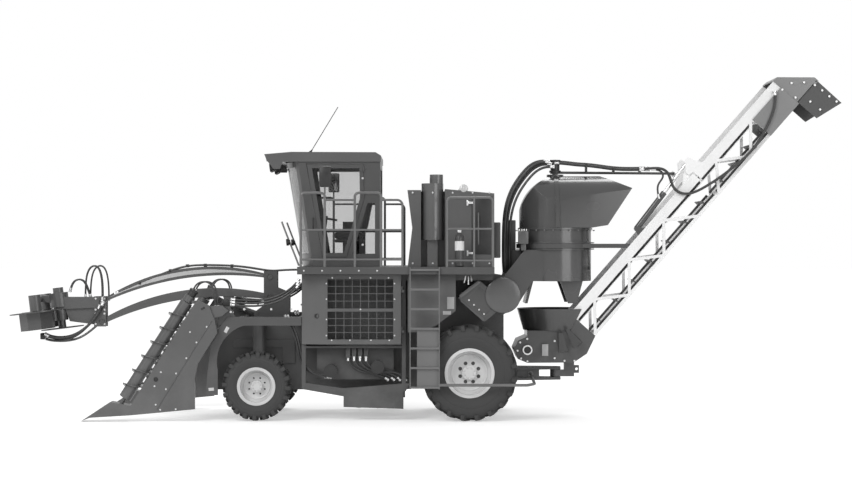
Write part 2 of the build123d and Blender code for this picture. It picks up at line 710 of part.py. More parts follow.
def tyre(axle_x, centre_y, radius, width, bead_r, lugs, slant):
    """A tyre of flat facets, one to each lug, with the lugs of its two halves in turn."""
    half = width / 2
    sides = 2 * lugs
    casing = radius - LUG_HEIGHT
    wall = 0.45 * (radius - bead_r) - 15
    middle = Vector(axle_x, centre_y, radius)
    # The casing is a many-sided ring with its flats square to the lugs
    plane = Plane(middle - Vector(0, half, 0), x_dir=(0, 0, -1), z_dir=(0, 1, 0))
    with BuildSketch(plane) as section:
        RegularPolygon(casing, sides, major_radius=False, rotation=180 / sides)
        RegularPolygon(bead_r + GAP, sides, major_radius=False, rotation=180 / sides, mode=Mode.SUBTRACT)
    extrude(section.sketch, amount=width)
    # The shoulders and the dished side walls are chamfers of its edges
    for side in (-half, half):
        rims = edges().filter_by_position(Axis.Y, centre_y + side - 1, centre_y + side + 1)
        outer = rims.filter_by(lambda edge: (edge @ 0.5 - middle).length > casing - 50)
        chamfer(outer, length=0.3 * half)
    for side in (-half, half):
        rims = edges().filter_by_position(Axis.Y, centre_y + side - 1, centre_y + side + 1)
        inner = rims.filter_by(lambda edge: hypot((edge @ 0.5).X - axle_x, (edge @ 0.5).Z - radius) < bead_r + 2)
        end = faces().filter_by_position(Axis.Y, centre_y + side - 1, centre_y + side + 1)[0]
        chamfer(inner, length=wall, length2=BEAD_DEPTH * half, reference=end)
    # Each lug is drawn across the tread and leans along it by its slant
    lean = hypot(1, slant)
    tip_r = sqrt(radius**2 - (slant * (0.80 * half + 2 * LUG_HALF)) ** 2)
    for number in range(sides):
        hand = 1 if number % 2 else -1
        angle = 2 * pi * number / sides
        along = Vector(cos(angle), 0, sin(angle))
        across = Vector(0, hand, 0) + along * slant
        outward = Vector(sin(angle), 0, -cos(angle))
        with BuildSketch(Plane(middle, x_dir=across, z_dir=across.cross(outward))) as lug:
            with BuildLine():
                Polyline(
                    (-0.05 * half * lean, casing - 40),
                    (-0.05 * half * lean, tip_r),
                    (0.80 * half * lean, tip_r),
                    (0.93 * half * lean, casing - 20),
                    (0.82 * half * lean, casing - 50),
                    close=True,
                )
            make_face()
        extrude(lug.sketch, amount=LUG_HALF, both=True)


def rim(axle_x, centre_y, radius, width, bead_r, disc, hub, hole_circle, hole_r, holes):
    """A left-hand rim with its disc: disc and hub are (outer y, inner y) from the wheel's middle."""
    half = (1 - BEAD_DEPTH) * width / 2 + 15
    profile = [
        (-half - 15, bead_r + 25),
        (-half - GAP, bead_r + 25),
        (-half - GAP, bead_r),
        (half + GAP, bead_r),
        (half + GAP, bead_r + 25),
        (half + 15, bead_r + 25),
        (half + 15, bead_r - 20),
        (disc[1], bead_r - 20),
        (disc[1], 0),
        (hub[0], 0),
        (hub[0], hub[1]),
        (disc[0], hub[1]),
        (disc[0], bead_r - 20),
        (-half - 15, bead_r - 20),
    ]
    with BuildSketch(wheel_plane(axle_x, centre_y, radius)) as section:
        with BuildLine():
            Polyline(*profile, close=True)
        make_face()
    revolve(section.sketch, axis=Axis((axle_x, centre_y, radius), (0, 1, 0)))
    with BuildSketch(Plane((axle_x, centre_y + disc[0], radius), x_dir=(1, 0, 0), z_dir=(0, 1, 0))) as bolt_holes:
        with PolarLocations(hole_circle, holes, start_angle=22.5):
            Circle(hole_r)
    extrude(bolt_holes.sketch, amount=disc[1] - disc[0], mode=Mode.SUBTRACT)


# Wheels, left side first and the right side as its mirror image
with BuildPart() as rear_tyre_left:
    tyre(REAR_AXLE_X, -REAR_WHEEL_Y, REAR_TYRE_R, REAR_TYRE_W, REAR_BEAD_R, REAR_LUGS, REAR_LUG_SLANT)
with BuildPart() as rear_rim_left:
    rim(REAR_AXLE_X, -REAR_WHEEL_Y, REAR_TYRE_R, REAR_TYRE_W, REAR_BEAD_R, (-4, 19), (-60, 105), 147, 28, 8)
with BuildPart() as front_tyre_left:
    tyre(FRONT_AXLE_X, -FRONT_WHEEL_Y, FRONT_TYRE_R, FRONT_TYRE_W, FRONT_BEAD_R, FRONT_LUGS, 0)
with BuildPart() as front_rim_left:
    rim(FRONT_AXLE_X, -FRONT_WHEEL_Y, FRONT_TYRE_R, FRONT_TYRE_W, FRONT_BEAD_R, (-16, 5), (-90, 85), 125, 14, 8)
for left, name in (
    (rear_tyre_left, "rear_tyre"),
    (rear_rim_left, "rear_rim"),
    (front_tyre_left, "front_tyre"),
    (front_rim_left, "front_rim"),
):
    write(left, f"{name}_left")
    with BuildPart() as right:
        mirror(left.part, about=Plane.XZ)
    write(right, f"{name}_right")

# Steering knuckles
with BuildPart() as knuckle_left:
    rod((FRONT_AXLE_X, -KINGPIN_Y, 600), (FRONT_AXLE_X, -KINGPIN_Y, 1190), KINGPIN_R)
    block((FRONT_AXLE_X - 85, FRONT_AXLE_X + 85), (-KINGPIN_Y - 85, -KINGPIN_Y + 85), (420, 636))
    rod((FRONT_AXLE_X, -KINGPIN_Y, FRONT_TYRE_R), (FRONT_AXLE_X, -1000, FRONT_TYRE_R), 85)
    rod((FRONT_AXLE_X, -990, FRONT_TYRE_R), (FRONT_AXLE_X, -FRONT_WHEEL_Y + 5 + GAP, FRONT_TYRE_R), 150)
write(knuckle_left, "knuckle_left")
with BuildPart() as knuckle_right:
    mirror(knuckle_left.part, about=Plane.XZ)
write(knuckle_right, "knuckle_right")


def finned_roller(axle, tube_r, fins, fin_r):
    """A roller across the throat with straight fins, on a shaft in the throat walls."""
    x, z = axle
    rod((x, -THROAT_IN + 10, z), (x, THROAT_IN - 10, z), tube_r)
    rod((x, -THROAT_OUT, z), (x, THROAT_OUT, z), ROLLER_SHAFT_R)
    for number in range(fins):
        angle = 2 * pi * number / fins
        with BuildSketch(Plane((x, 0, z), x_dir=(cos(angle), 0, sin(angle)), z_dir=(0, 1, 0))) as fin:
            with Locations(((tube_r + fin_r) / 2 - 10, 0)):
                Rectangle(fin_r - tube_r + 20, 12)
        extrude(fin.sketch, amount=THROAT_IN - 12, both=True)


# Feed rollers and base cutter discs
with BuildPart() as knockdown_roller:
    finned_roller(KNOCKDOWN, 95, 6, 155)
write(knockdown_roller, "knockdown_roller")
with BuildPart() as feed_roller:
    finned_roller(FEED_ROLLER, 110, 8, 180)
write(feed_roller, "feed_roller")
with BuildPart() as cutter_left:
    rod((CUTTER_X, -CUTTER_Y, 150), (CUTTER_X, -CUTTER_Y, 170), 240)
    rod((CUTTER_X, -CUTTER_Y, 150), (CUTTER_X, -CUTTER_Y, 185 - GAP), 130)
    for turn in range(5):
        with BuildSketch(Plane((CUTTER_X, -CUTTER_Y, 142)).rotated((0, 0, 72 * turn))):
            with Locations((240, 0)):
                Rectangle(130, 80)
        extrude(amount=8)
write(cutter_left, "cutter_left")
with BuildPart() as cutter_right:
    mirror(cutter_left.part, about=Plane.XZ)
write(cutter_right, "cutter_right")

# Crop dividers: side panel, toe, arm back to its pivot and the upper bearing of the scroll
DIVIDER_PANEL = [
    (-3417, 1752),
    (-3355, 1793),
    (-3210, 1721),
    (-3126, 1505),
    (-3085, 1315),
    (-3376, 858),
    (-3417, 632),
    (-3417, 185),
    (-4372, 95),
    (-4974, 59),
    (-5108, 6),
    (-4673, 292),
    (-4372, 237),
]
DIVIDER_TOE = [(-5108, 6), (-4673, 292), (-4372, 237), (-4372, 95), (-4974, 59)]
DIVIDER_ARM = [(-3300, 1700), (-3300, 1500), (-3020, 1560), (-2930, 1640), (-3020, 1720)]
SCROLL_RUN = Vector(SCROLL_HIGH[0] - SCROLL_LOW[0], SCROLL_HIGH[1] - SCROLL_LOW[1])


def on_scroll(distance):
    """The point on the left scroll's axis at a distance from its lower end."""
    unit = SCROLL_RUN.normalized()
    return (SCROLL_LOW[0] + unit.X * distance, -SCROLL_Y, SCROLL_LOW[1] + unit.Y * distance)


with BuildPart() as divider_left:
    plate(DIVIDER_PANEL, -DIVIDER_OUT, -DIVIDER_IN)
    plate(DIVIDER_TOE, -DIVIDER_OUT, -1060)
    plate(DIVIDER_ARM, -DIVIDER_IN, -DIVIDER_IN + 70)
    rod(
        (DIVIDER_PIVOT[0], -DIVIDER_IN, DIVIDER_PIVOT[1]),
        (DIVIDER_PIVOT[0], -ARCH_IN - 30, DIVIDER_PIVOT[1]),
        40,
    )
    rod(on_scroll(1800), on_scroll(1900), 80)
    block((-3470, -3330), (-DIVIDER_IN, -SCROLL_Y), (1745, 1790))
    rod(on_scroll(-60), on_scroll(120), 30 + GAP, Mode.SUBTRACT)
    rod(on_scroll(1795), on_scroll(1860), 30 + GAP, Mode.SUBTRACT)
write(divider_left, "divider_left")
with BuildPart() as divider_right:
    mirror(divider_left.part, about=Plane.XZ)
write(divider_right, "divider_right")

with BuildPart() as scroll_left:
    scroll_axis = (Vector(*on_scroll(1)) - Vector(*on_scroll(0))).normalized()
    rod(on_scroll(0), on_scroll(1855), 30)
    rod(on_scroll(100), on_scroll(1790), SCROLL_TUBE_R)
    # The flight climbs in flat plates, each tilted to meet the next one
    reach = tan(pi / FLIGHT_PLATES)
    rise = SCROLL_PITCH / FLIGHT_PLATES
    edge_r = SCROLL_FLIGHT_R * cos(pi / FLIGHT_PLATES)
    middle_r = (SCROLL_TUBE_R + edge_r) / 2
    for number in range(round(1480 / rise)):
        angle = 2 * pi * number / FLIGHT_PLATES
        side_way = scroll_axis.cross(Vector(0, 1, 0))
        radial = Vector(0, cos(angle), 0) + side_way * sin(angle)
        climb = scroll_axis.cross(radial) * (2 * middle_r * reach) + scroll_axis * rise
        flight = Plane(on_scroll(200 + rise * number), x_dir=radial, z_dir=radial.cross(climb))
        stretch = climb.length / (2 * middle_r)
        with BuildSketch(flight) as plate_face:
            with BuildLine():
                Polyline(
                    (SCROLL_TUBE_R - 8, -SCROLL_TUBE_R * stretch),
                    (edge_r, -edge_r * stretch),
                    (edge_r, edge_r * stretch),
                    (SCROLL_TUBE_R - 8, SCROLL_TUBE_R * stretch),
                    close=True,
                )
            make_face()
        extrude(plate_face.sketch, amount=6, both=True)
write(scroll_left, "scroll_left")
with BuildPart() as scroll_right:
    mirror(scroll_left.part, about=Plane.XZ)
write(scroll_right, "scroll_right")


def arched_arm(pivot_z, end_depth, crest, crest_depth):
    """A boom arm from its mast pivot to its head pivot, deepest at its crest, with both pins."""
    front = (MAST_X - ARM_REACH, pivot_z - ARM_DROP)
    half = end_depth / 2
    with BuildSketch(Plane.XZ) as crescent:
        with BuildLine():
            ThreePointArc((MAST_X, pivot_z + half), (ARM_CREST_X, pivot_z + crest), (front[0], front[1] + half))
            Line((front[0], front[1] + half), (front[0], front[1] - half))
            ThreePointArc(
                (front[0], front[1] - half), (ARM_CREST_X, pivot_z + crest - crest_depth), (MAST_X, pivot_z - half)
            )
            Line((MAST_X, pivot_z - half), (MAST_X, pivot_z + half))
        make_face()
    extrude(crescent.sketch, amount=ARM_HALF, both=True)
    for x, z in ((MAST_X, pivot_z), front):
        rod((x, -ARM_HALF, z), (x, ARM_HALF, z), ARM_BOSS_R)
        rod((x, -CHEEK_OUT, z), (x, CHEEK_OUT, z), ARM_PIN_R)


# Topper boom: two parallel arms, the lower with the lugs of the lift cylinder
with BuildPart() as topper_upper_arm:
    arched_arm(ARM_UPPER_Z, 50, 132, 152)
write(topper_upper_arm, "topper_upper_arm")
with BuildPart() as topper_lower_arm:
    arched_arm(ARM_LOWER_Z, 80, 109, 140)
    lug = LIFT_HIGH
    both_sides(
        lambda low, high: plate(
            [
                (lug[0] - 90, lug[1] + 130),
                (lug[0] - 35, lug[1] - 40),
                (lug[0] + 35, lug[1] - 40),
                (lug[0] + 90, lug[1] + 130),
            ],
            low,
            high,
        ),
        35,
        55,
    )
write(topper_lower_arm, "topper_lower_arm")

# Topper head, with the tilted seats of the cutter and of the two gathering drums
TILT_UP = Vector(-sin(radians(HEAD_TILT)), 0, cos(radians(HEAD_TILT)))
TILT_BACK = Vector(cos(radians(HEAD_TILT)), 0, sin(radians(HEAD_TILT)))


def on_head(back, y, up):
    """A point in the tilted directions of the topper head, from the line of the gathering drums."""
    point = Vector(GATHER_X, y, GATHER_Z) + TILT_BACK * back + TILT_UP * up
    return (point.X, point.Y, point.Z)


CUTTER_BACK = 290
HEAD_X = MAST_X - ARM_REACH
with BuildPart() as topper_head:
    both_sides(
        lambda low, high: block((HEAD_X - 120, HEAD_X + 62), (low, high), (1360, 1825)), CHEEK_IN, CHEEK_OUT
    )
    block((HEAD_X - 120, HEAD_X - 75), (-CHEEK_OUT, CHEEK_OUT), (1360, 1825))
    for z in (ARM_UPPER_Z - ARM_DROP, ARM_LOWER_Z - ARM_DROP):
        rod((HEAD_X, -CHEEK_OUT, z), (HEAD_X, CHEEK_OUT, z), ARM_PIN_R + GAP, Mode.SUBTRACT)
    motor_x = on_head(CUTTER_BACK, 0, 0)[0]
    back_x = HEAD_X - 120
    plate([(motor_x, 1815), (back_x, 1815), (back_x, 1650), (motor_x, 1625)], -105, 105)
    plate([(motor_x + 60, 1660), (back_x, 1660), (back_x, 1390), (motor_x + 140, 1440)], -60, 60)
    top_bar = on_head(0, 0, 340)
    plate([(top_bar[0], top_bar[2] - 50), (top_bar[0], top_bar[2] + 50), (motor_x, 1815), (motor_x, 1700)], -60, 60)
    rod(on_head(0, -GATHER_Y, 340), on_head(0, GATHER_Y, 340), 55)
    for side in (-1, 1):
        rod(on_head(0, side * GATHER_Y, 152), on_head(0, side * GATHER_Y, 400), 90)
    rod(on_head(CUTTER_BACK, 0, -40), on_head(CUTTER_BACK, 0, 175), 105)
    rod(on_head(CUTTER_BACK, 0, 170), on_head(CUTTER_BACK, 0, 390), 145)
    rod(on_head(CUTTER_BACK, 0, 390), on_head(CUTTER_BACK, 0, 470), 80)
write(topper_head, "topper_head")

with BuildPart() as gather_left:
    for low, high, flats_r, mode in ((-130, 130, 265, Mode.ADD), (-130, 118, 257, Mode.SUBTRACT)):
        with BuildSketch(Plane(on_head(0, -GATHER_Y, low), x_dir=TILT_BACK, z_dir=TILT_UP)) as drum:
            RegularPolygon(flats_r, 8, rotation=22.5)
        extrude(drum.sketch, amount=high - low, mode=mode)
    rod(on_head(0, -GATHER_Y, 130), on_head(0, -GATHER_Y, 148), 400)
    rod(on_head(0, -GATHER_Y, -60), on_head(0, -GATHER_Y, 152 - GAP), 60)
write(gather_left, "gather_left")
with BuildPart() as gather_right:
    mirror(gather_left.part, about=Plane.XZ)
write(gather_right, "gather_right")

with BuildPart() as topper_cutter:
    rod(on_head(CUTTER_BACK, 0, -165), on_head(CUTTER_BACK, 0, -150), 330)
    rod(on_head(CUTTER_BACK, 0, -150), on_head(CUTTER_BACK, 0, -40 - GAP), 60)
write(topper_cutter, "topper_cutter")

# Boom lift cylinder between the foot of the mast and the lower arm
LIFT_RUN = Vector(LIFT_HIGH[0] - LIFT_LOW[0], LIFT_HIGH[1] - LIFT_LOW[1])


def on_lift(distance):
    """The point on the boom lift cylinder's axis at a distance from its lower eye."""
    unit = LIFT_RUN.normalized()
    return (LIFT_LOW[0] + unit.X * distance, 0, LIFT_LOW[1] + unit.Y * distance)


with BuildPart() as lift_cylinder:
    rod(on_lift(0), on_lift(LIFT_BARREL), LIFT_BARREL_R)
    rod((LIFT_LOW[0], -40, LIFT_LOW[1]), (LIFT_LOW[0], 40, LIFT_LOW[1]), 48)
    rod((LIFT_LOW[0], -CHEEK_OUT, LIFT_LOW[1]), (LIFT_LOW[0], CHEEK_OUT, LIFT_LOW[1]), 25)
    rod(on_lift(60), on_lift(LIFT_BARREL), 20 + GAP, Mode.SUBTRACT)
write(lift_cylinder, "lift_cylinder")
with BuildPart() as lift_rod:
    rod(on_lift(130), on_lift(LIFT_RUN.length - 20), 20)
    rod((LIFT_HIGH[0], -30, LIFT_HIGH[1]), (LIFT_HIGH[0], 30, LIFT_HIGH[1]), 32)
write(lift_rod, "lift_rod")

# Side doors of the machinery bay, folded inwards at the front, each with two mesh windows
DOOR_REAR_X = -370
DOOR_OUT = 1250
DOOR_PLAN = [
    (DOOR_REAR_X, -DOOR_OUT),
    (-1541, -DOOR_OUT),
    (-1845, -1170),
    (-1845, -1130),
    (-1536, -DOOR_OUT + 40),
    (DOOR_REAR_X, -DOOR_OUT + 40),
]
DOOR_LOW_Z = 1140
DOOR_TOP_Z = 2173
WINDOW_X = (-1460, -486)
GRID_COLUMNS = 8
GRID_ROWS = 4
with BuildPart() as side_door_left:
    slab(DOOR_PLAN, DOOR_LOW_Z, DOOR_TOP_Z)
    for window_z in ((1214, 1627), (1673, 2111)):
        block(WINDOW_X, (-DOOR_OUT, -DOOR_OUT + 40), window_z, Mode.SUBTRACT)
        grid = (-DOOR_OUT + 17, -DOOR_OUT + 23)
        for number in range(1, GRID_COLUMNS):
            x = WINDOW_X[0] + (WINDOW_X[1] - WINDOW_X[0]) * number / GRID_COLUMNS
            block((x - 5, x + 5), grid, window_z)
        for number in range(1, GRID_ROWS):
            z = window_z[0] + (window_z[1] - window_z[0]) * number / GRID_ROWS
            block(WINDOW_X, grid, (z - 5, z + 5))
    for z in BAY_HINGE_Z:
        block((DOOR_REAR_X - 2, BAY_HINGE_X), (-BAY_HINGE_Y - 6, -BAY_HINGE_Y + 6), (z, z + 50))
        rod((BAY_HINGE_X, -BAY_HINGE_Y, z), (BAY_HINGE_X, -BAY_HINGE_Y, z + 50), 12)
        rod(
            (BAY_HINGE_X, -BAY_HINGE_Y, z),
            (BAY_HINGE_X, -BAY_HINGE_Y, z + 50),
            BAY_HINGE_PIN_R + GAP,
            Mode.SUBTRACT,
        )
write(side_door_left, "side_door_left")
with BuildPart() as side_door_right:
    mirror(side_door_left.part, about=Plane.XZ)
write(side_door_right, "side_door_right")


# Fuel tank on the left and hydraulic oil tank on the right
def tank_side(top_z):
    """The side view of a tank, cut away above the rear wheel."""
    return [(-270, top_z), (440, top_z), (440, 1640), (150, 1420), (-100, 1320), (-270, 1320)]


with BuildPart() as side_tanks:
    both_sides(lambda low, high: plate(tank_side(DECK_UNDER_Z - 5), low, high), 1125, DOOR_OUT)
    both_sides(lambda low, high: plate(tank_side(2090), low, high), 900, 1126)
write(side_tanks, "side_tanks")

# Deck: top plate with a folded edge
with BuildPart() as deck:
    block((DECK_FRONT_X, DECK_REAR_X), (-DECK_HALF, DECK_HALF), (DECK_UNDER_Z, DECK_TOP_Z))
    block(
        (DECK_FRONT_X + 15, DECK_REAR_X - 15),
        (-DECK_HALF + 15, DECK_HALF - 15),
        (DECK_UNDER_Z, DECK_TOP_Z - 15),
        Mode.SUBTRACT,
    )
    for y in (-POST_OUT, POST_IN, -THROAT_OUT, THROAT_IN):
        block((BAY_FRONT_X, 1000), (y, y + 30), (DECK_UNDER_Z, DECK_TOP_Z - 10))
write(deck, "deck")

# Engine, its hollow cowl with the waisted air intake and louvred sides, and the stacks in its recesses
with BuildPart() as engine_block:
    block((400, 1000), (-300, 300), (DECK_TOP_Z, 3100))
write(engine_block, "engine_block")


def cowl_shape(inset, mode):
    """The volume of the engine cowl and its intake, drawn in by an inset."""
    plate(
        [
            (285 + inset, DECK_TOP_Z),
            (285 + inset, 3455 - inset),
            (1065 - 40 - inset, 3390 - inset),
            (1065 - 40 - inset, DECK_TOP_Z),
        ],
        -900 + inset,
        900 - inset,
        mode,
    )
    plate(
        [
            (-75 - 200 + inset, DECK_TOP_Z),
            (-207 + inset, 2870),
            (-279 + inset, 3440 - inset),
            (-75 - inset, 3440 - inset),
            (-75 - inset, DECK_TOP_Z),
        ],
        -880 + inset,
        880 - inset,
        mode,
    )
    block((-80 - inset, 290 + inset), (-540 + inset, 540 - inset), (DECK_TOP_Z, 3430 - inset), mode)


LOUVRES = 12
with BuildPart() as engine_cowl:
    cowl_shape(0, Mode.ADD)
    cowl_shape(15, Mode.SUBTRACT)
    for side in (-1, 1):
        wall = sorted((side * 885, side * 900))
        block((690, 990), wall, (2480, 3340), Mode.SUBTRACT)
        for number in range(LOUVRES):
            z = 2480 + 860 * (number + 0.5) / LOUVRES
            block((690, 990), wall, (z - 9, z + 9))
write(engine_cowl, "engine_cowl")

with BuildPart() as stacks:
    for side in (-1, 1):
        y = side * 725
        rod((97, y, 2690), (97, y, 3542), 165)
        rod((157, y, 3540), (157, y, 3676), 100)
        rod((97, y, 2705), (97, y, 3527), 155, Mode.SUBTRACT)
        rod((157, y, 3500), (157, y, 3676), 88, Mode.SUBTRACT)
        block((20, 175), (y - 70, y + 70), (DECK_TOP_Z, 2692))
write(stacks, "stacks")

# Hand rails along the deck, left and right
RAIL_LOOPS = [(-1847, -1493), (-1049, -665)]
ENGINE_POSTS = [310, 709, 985]
with BuildPart() as handrails:
    for y in (-RAIL_Y, RAIL_Y):
        for x_front, x_rear in RAIL_LOOPS:
            tube([(x_front, y, DECK_TOP_Z), (x_front, y, 3383), (x_rear, y, 3383), (x_rear, y, DECK_TOP_Z)], RAIL_R, 60)
        tube([(-665, y, 3279), (-347, y, 3279), (-347, y, DECK_TOP_Z)], RAIL_R - 2, 80)
        rod((-1493, y, 3279), (-1049, y, 3279), RAIL_R - 4)
        for z in (2836, 2400):
            rod((-1847, y, z), (-347, y, z), RAIL_R - 4)
        tube([(310, y, DECK_TOP_Z), (310, y, 3313), (985, y, 3313), (985, y, DECK_TOP_Z)], RAIL_R, 60)
        rod((709, y, DECK_TOP_Z), (709, y, 3313), RAIL_R - 2)
        for z in (2851, 2384):
            rod((310, y, z), (985, y, z), RAIL_R - 4)
write(handrails, "handrails")

# Ladder on the left with its splash plate, and the bar that guards the rear wheel
LADDER_X = (-234, 195)
LADDER_Y = -1440
RUNGS = 7
with BuildPart() as ladder:
    for x in LADDER_X:
        block((x - 8, x + 8), (LADDER_Y - 25, LADDER_Y + 20), (490, DECK_TOP_Z - 2))
        block((x - 8, x + 8), (LADDER_Y + 15, -DECK_HALF), (DECK_UNDER_Z, DECK_TOP_Z - 2))
    for number in range(RUNGS):
        z = 514 + number * 289
        block((LADDER_X[0], LADDER_X[1]), (LADDER_Y - 22, LADDER_Y + 18), (z - 15, z + 15))
    block((-133, LADDER_X[1]), (LADDER_Y + 19, LADDER_Y + 27), (500, 1390))
    tube(
        [(195, -1445, 550), (1500, -1445, 550), (1607, -1300, 560), (1607, -184, 640)],
        22,
        60,
    )
    rod((1607, -190, 640), (1607, -180, 640), 40)
write(ladder, "ladder")


def cab_plan(z, inset):
    """The cab's outline at one height: straight sides and back, curved front."""
    share = (z - DECK_TOP_Z) / (CAB_TOP_Z - DECK_TOP_Z)
    corner = -1700 - 230 * share + inset
    crown = -1900 - 265 * share + inset
    half = CAB_HALF - inset
    with BuildSketch(Plane.XY.offset(z)) as plan:
        with BuildLine():
            Polyline((corner, -half), (CAB_REAR_X - inset, -half), (CAB_REAR_X - inset, half), (corner, half))
            ThreePointArc((corner, half), (crown, 0), (corner, -half))
        make_face()
    return plan.sketch


def cab_volume(inset, z_low, z_high, mode):
    """The cab between two heights, drawn in by an inset."""
    return loft([cab_plan(z_low, inset), cab_plan(z_high, inset)], ruled=True, mode=mode)


CAB_DOOR = [(-1800, 3835), (-945, 3835), (-936, 3309), (-1199, 2434), (-1560, 2434)]
CAB_DOOR_GLASS = [(-1720, 3775), (-1005, 3775), (-997, 3320), (-1240, 2494), (-1515, 2494)]
QUARTER = [(-880, 3250), (-770, 3250), (-770, 2480), (-1110, 2480)]
REAR_WINDOW = ((-560, 560), (2900, 3780))
FRONT_WINDOW = ((-665, 665), (2480, 3790))


def outward(outline, distance):
    """The corners of an outline moved out by a distance on every side."""
    with BuildSketch(mode=Mode.PRIVATE) as face:
        with BuildLine():
            Polyline(*outline, close=True)
        make_face()
        offset(amount=distance, kind=Kind.INTERSECTION)
    return [((edge @ 0).X, (edge @ 0).Y) for edge in face.sketch.faces()[0].outer_wire().order_edges()]


CAB_HINGE = (-938, -CAB_HALF - 12)
CAB_HINGE_Z = (3380, 3760)
CAB_HINGE_PIN_R = 6
with BuildPart() as cab_frame:
    cab_volume(0, CAB_FLOOR_Z, CAB_TOP_Z, Mode.ADD)
    cab_volume(CAB_WALL, CAB_FLOOR_Z + 60, CAB_TOP_Z, Mode.SUBTRACT)
    block((-2400, -1600), *FRONT_WINDOW, Mode.SUBTRACT)
    block((CAB_REAR_X - 60, CAB_REAR_X + 10), *REAR_WINDOW, Mode.SUBTRACT)
    plate(outward(CAB_DOOR, 6), -CAB_HALF - 10, -CAB_HALF + CAB_WALL + 5, Mode.SUBTRACT)
    plate(CAB_DOOR_GLASS, CAB_HALF - CAB_WALL - 5, CAB_HALF + 10, Mode.SUBTRACT)
    both_sides(
        lambda low, high: plate(QUARTER, low, high, Mode.SUBTRACT), CAB_HALF - CAB_WALL - 5, CAB_HALF + 10
    )
    for z in CAB_HINGE_Z:
        block((CAB_HINGE[0], -890), (-CAB_HALF - 6, -CAB_HALF), (z + GAP, z + 40))
        rod((*CAB_HINGE, z + GAP), (*CAB_HINGE, z + 40), 12)
        rod((*CAB_HINGE, z - 40), (*CAB_HINGE, z + 20), CAB_HINGE_PIN_R)
write(cab_frame, "cab_frame")

with BuildPart() as cab_glass:
    cab_volume(18, *FRONT_WINDOW[1], Mode.ADD)
    cab_volume(24, *FRONT_WINDOW[1], Mode.SUBTRACT)
    block((-1600, CAB_REAR_X), (-CAB_HALF, CAB_HALF), (2400, 3900), Mode.SUBTRACT)
    both_sides(
        lambda low, high: block((-2400, -1600), (low, high), (2400, 3900), Mode.SUBTRACT),
        FRONT_WINDOW[0][1],
        CAB_HALF,
    )
    block((CAB_REAR_X - 24, CAB_REAR_X - 18), *REAR_WINDOW)
    plate(CAB_DOOR_GLASS, CAB_HALF - 24, CAB_HALF - 18)
    both_sides(lambda low, high: plate(QUARTER, low, high), CAB_HALF - 24, CAB_HALF - 18)
write(cab_glass, "cab_glass")

with BuildPart() as cab_door:
    plate(CAB_DOOR, -CAB_HALF, -CAB_HALF + 40)
    plate(CAB_DOOR_GLASS, -CAB_HALF, -CAB_HALF + 40, Mode.SUBTRACT)
    for z in CAB_HINGE_Z:
        block((-990, CAB_HINGE[0]), (-CAB_HALF - 6, -CAB_HALF), (z - 40, z))
        rod((*CAB_HINGE, z - 40), (*CAB_HINGE, z), 12)
        rod((*CAB_HINGE, z - 40), (*CAB_HINGE, z), CAB_HINGE_PIN_R + GAP, Mode.SUBTRACT)
write(cab_door, "cab_door")
with BuildPart() as cab_door_glass:
    plate(CAB_DOOR_GLASS, -CAB_HALF + 17, -CAB_HALF + 23)
write(cab_door_glass, "cab_door_glass")

ROOF = [
    (-2440, 3985),
    (-2400, 3890),
    (-2170, CAB_TOP_Z),
    (-680, CAB_TOP_Z),
    (-680, 3965),
    (-760, 4015),
    (-2030, 4020),
]
VISOR_CHEEK = [(-2400, 3890), (-2300, 3763), (-2205, 3763), (-2150, 3900)]
with BuildPart() as cab_roof:
    plate(ROOF, -CAB_HALF - 20, CAB_HALF + 20)
    plate(
        [(-2140, CAB_TOP_Z), (-720, CAB_TOP_Z), (-720, 3950), (-780, 3990), (-2020, 3995), (-2140, 3960)],
        -CAB_HALF + 20,
        CAB_HALF - 20,
        Mode.SUBTRACT,
    )
    both_sides(lambda low, high: plate(VISOR_CHEEK, low, high), CAB_HALF, CAB_HALF + 20)
    for y in (-560, -280, 280, 560):
        rod((-2380, y, 3935), (-2425, y, 3925), 45)
write(cab_roof, "cab_roof")

SEAT_X = (-1430, -950)
with BuildPart() as seat:
    block((-1300, -1050), (-150, 150), (CAB_FLOOR_Z + 60, 2700))
    block(SEAT_X, (-260, 260), (2700, 2830))
    plate([(-1010, 2820), (-900, 2820), (-820, 3420), (-930, 3420)], -250, 250)
write(seat, "seat")
with BuildPart() as console:
    block((-1300, -950), (300, 480), (CAB_FLOOR_Z + 60, 2980))
    block((-1700, -1590), (-80, 80), (CAB_FLOOR_Z + 60, 2440))
    rod((-1640, 0, 2430), (-1560, 0, 3040), 40)
    rod((-1566, 0, 2995), (-1556, 0, 3055), 60)
    rod((-1563, 0, 3015), (-1558, 0, 3045), 190)
    rod((-1568, 0, 2985), (-1553, 0, 3075), 165, Mode.SUBTRACT)
    rod((-1640, 0, 2430), (-1556, 0, 3070), 40)
    block((-1590, -1530), (-180, 180), (3020, 3040))
write(console, "console")
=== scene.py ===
"""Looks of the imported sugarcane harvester: finishes, fittings, soft parts, light and camera."""

import json
import logging
import math
from collections.abc import Iterable, Sequence
from dataclasses import dataclass
from enum import Enum

import bpy
from mathutils import Matrix, Vector


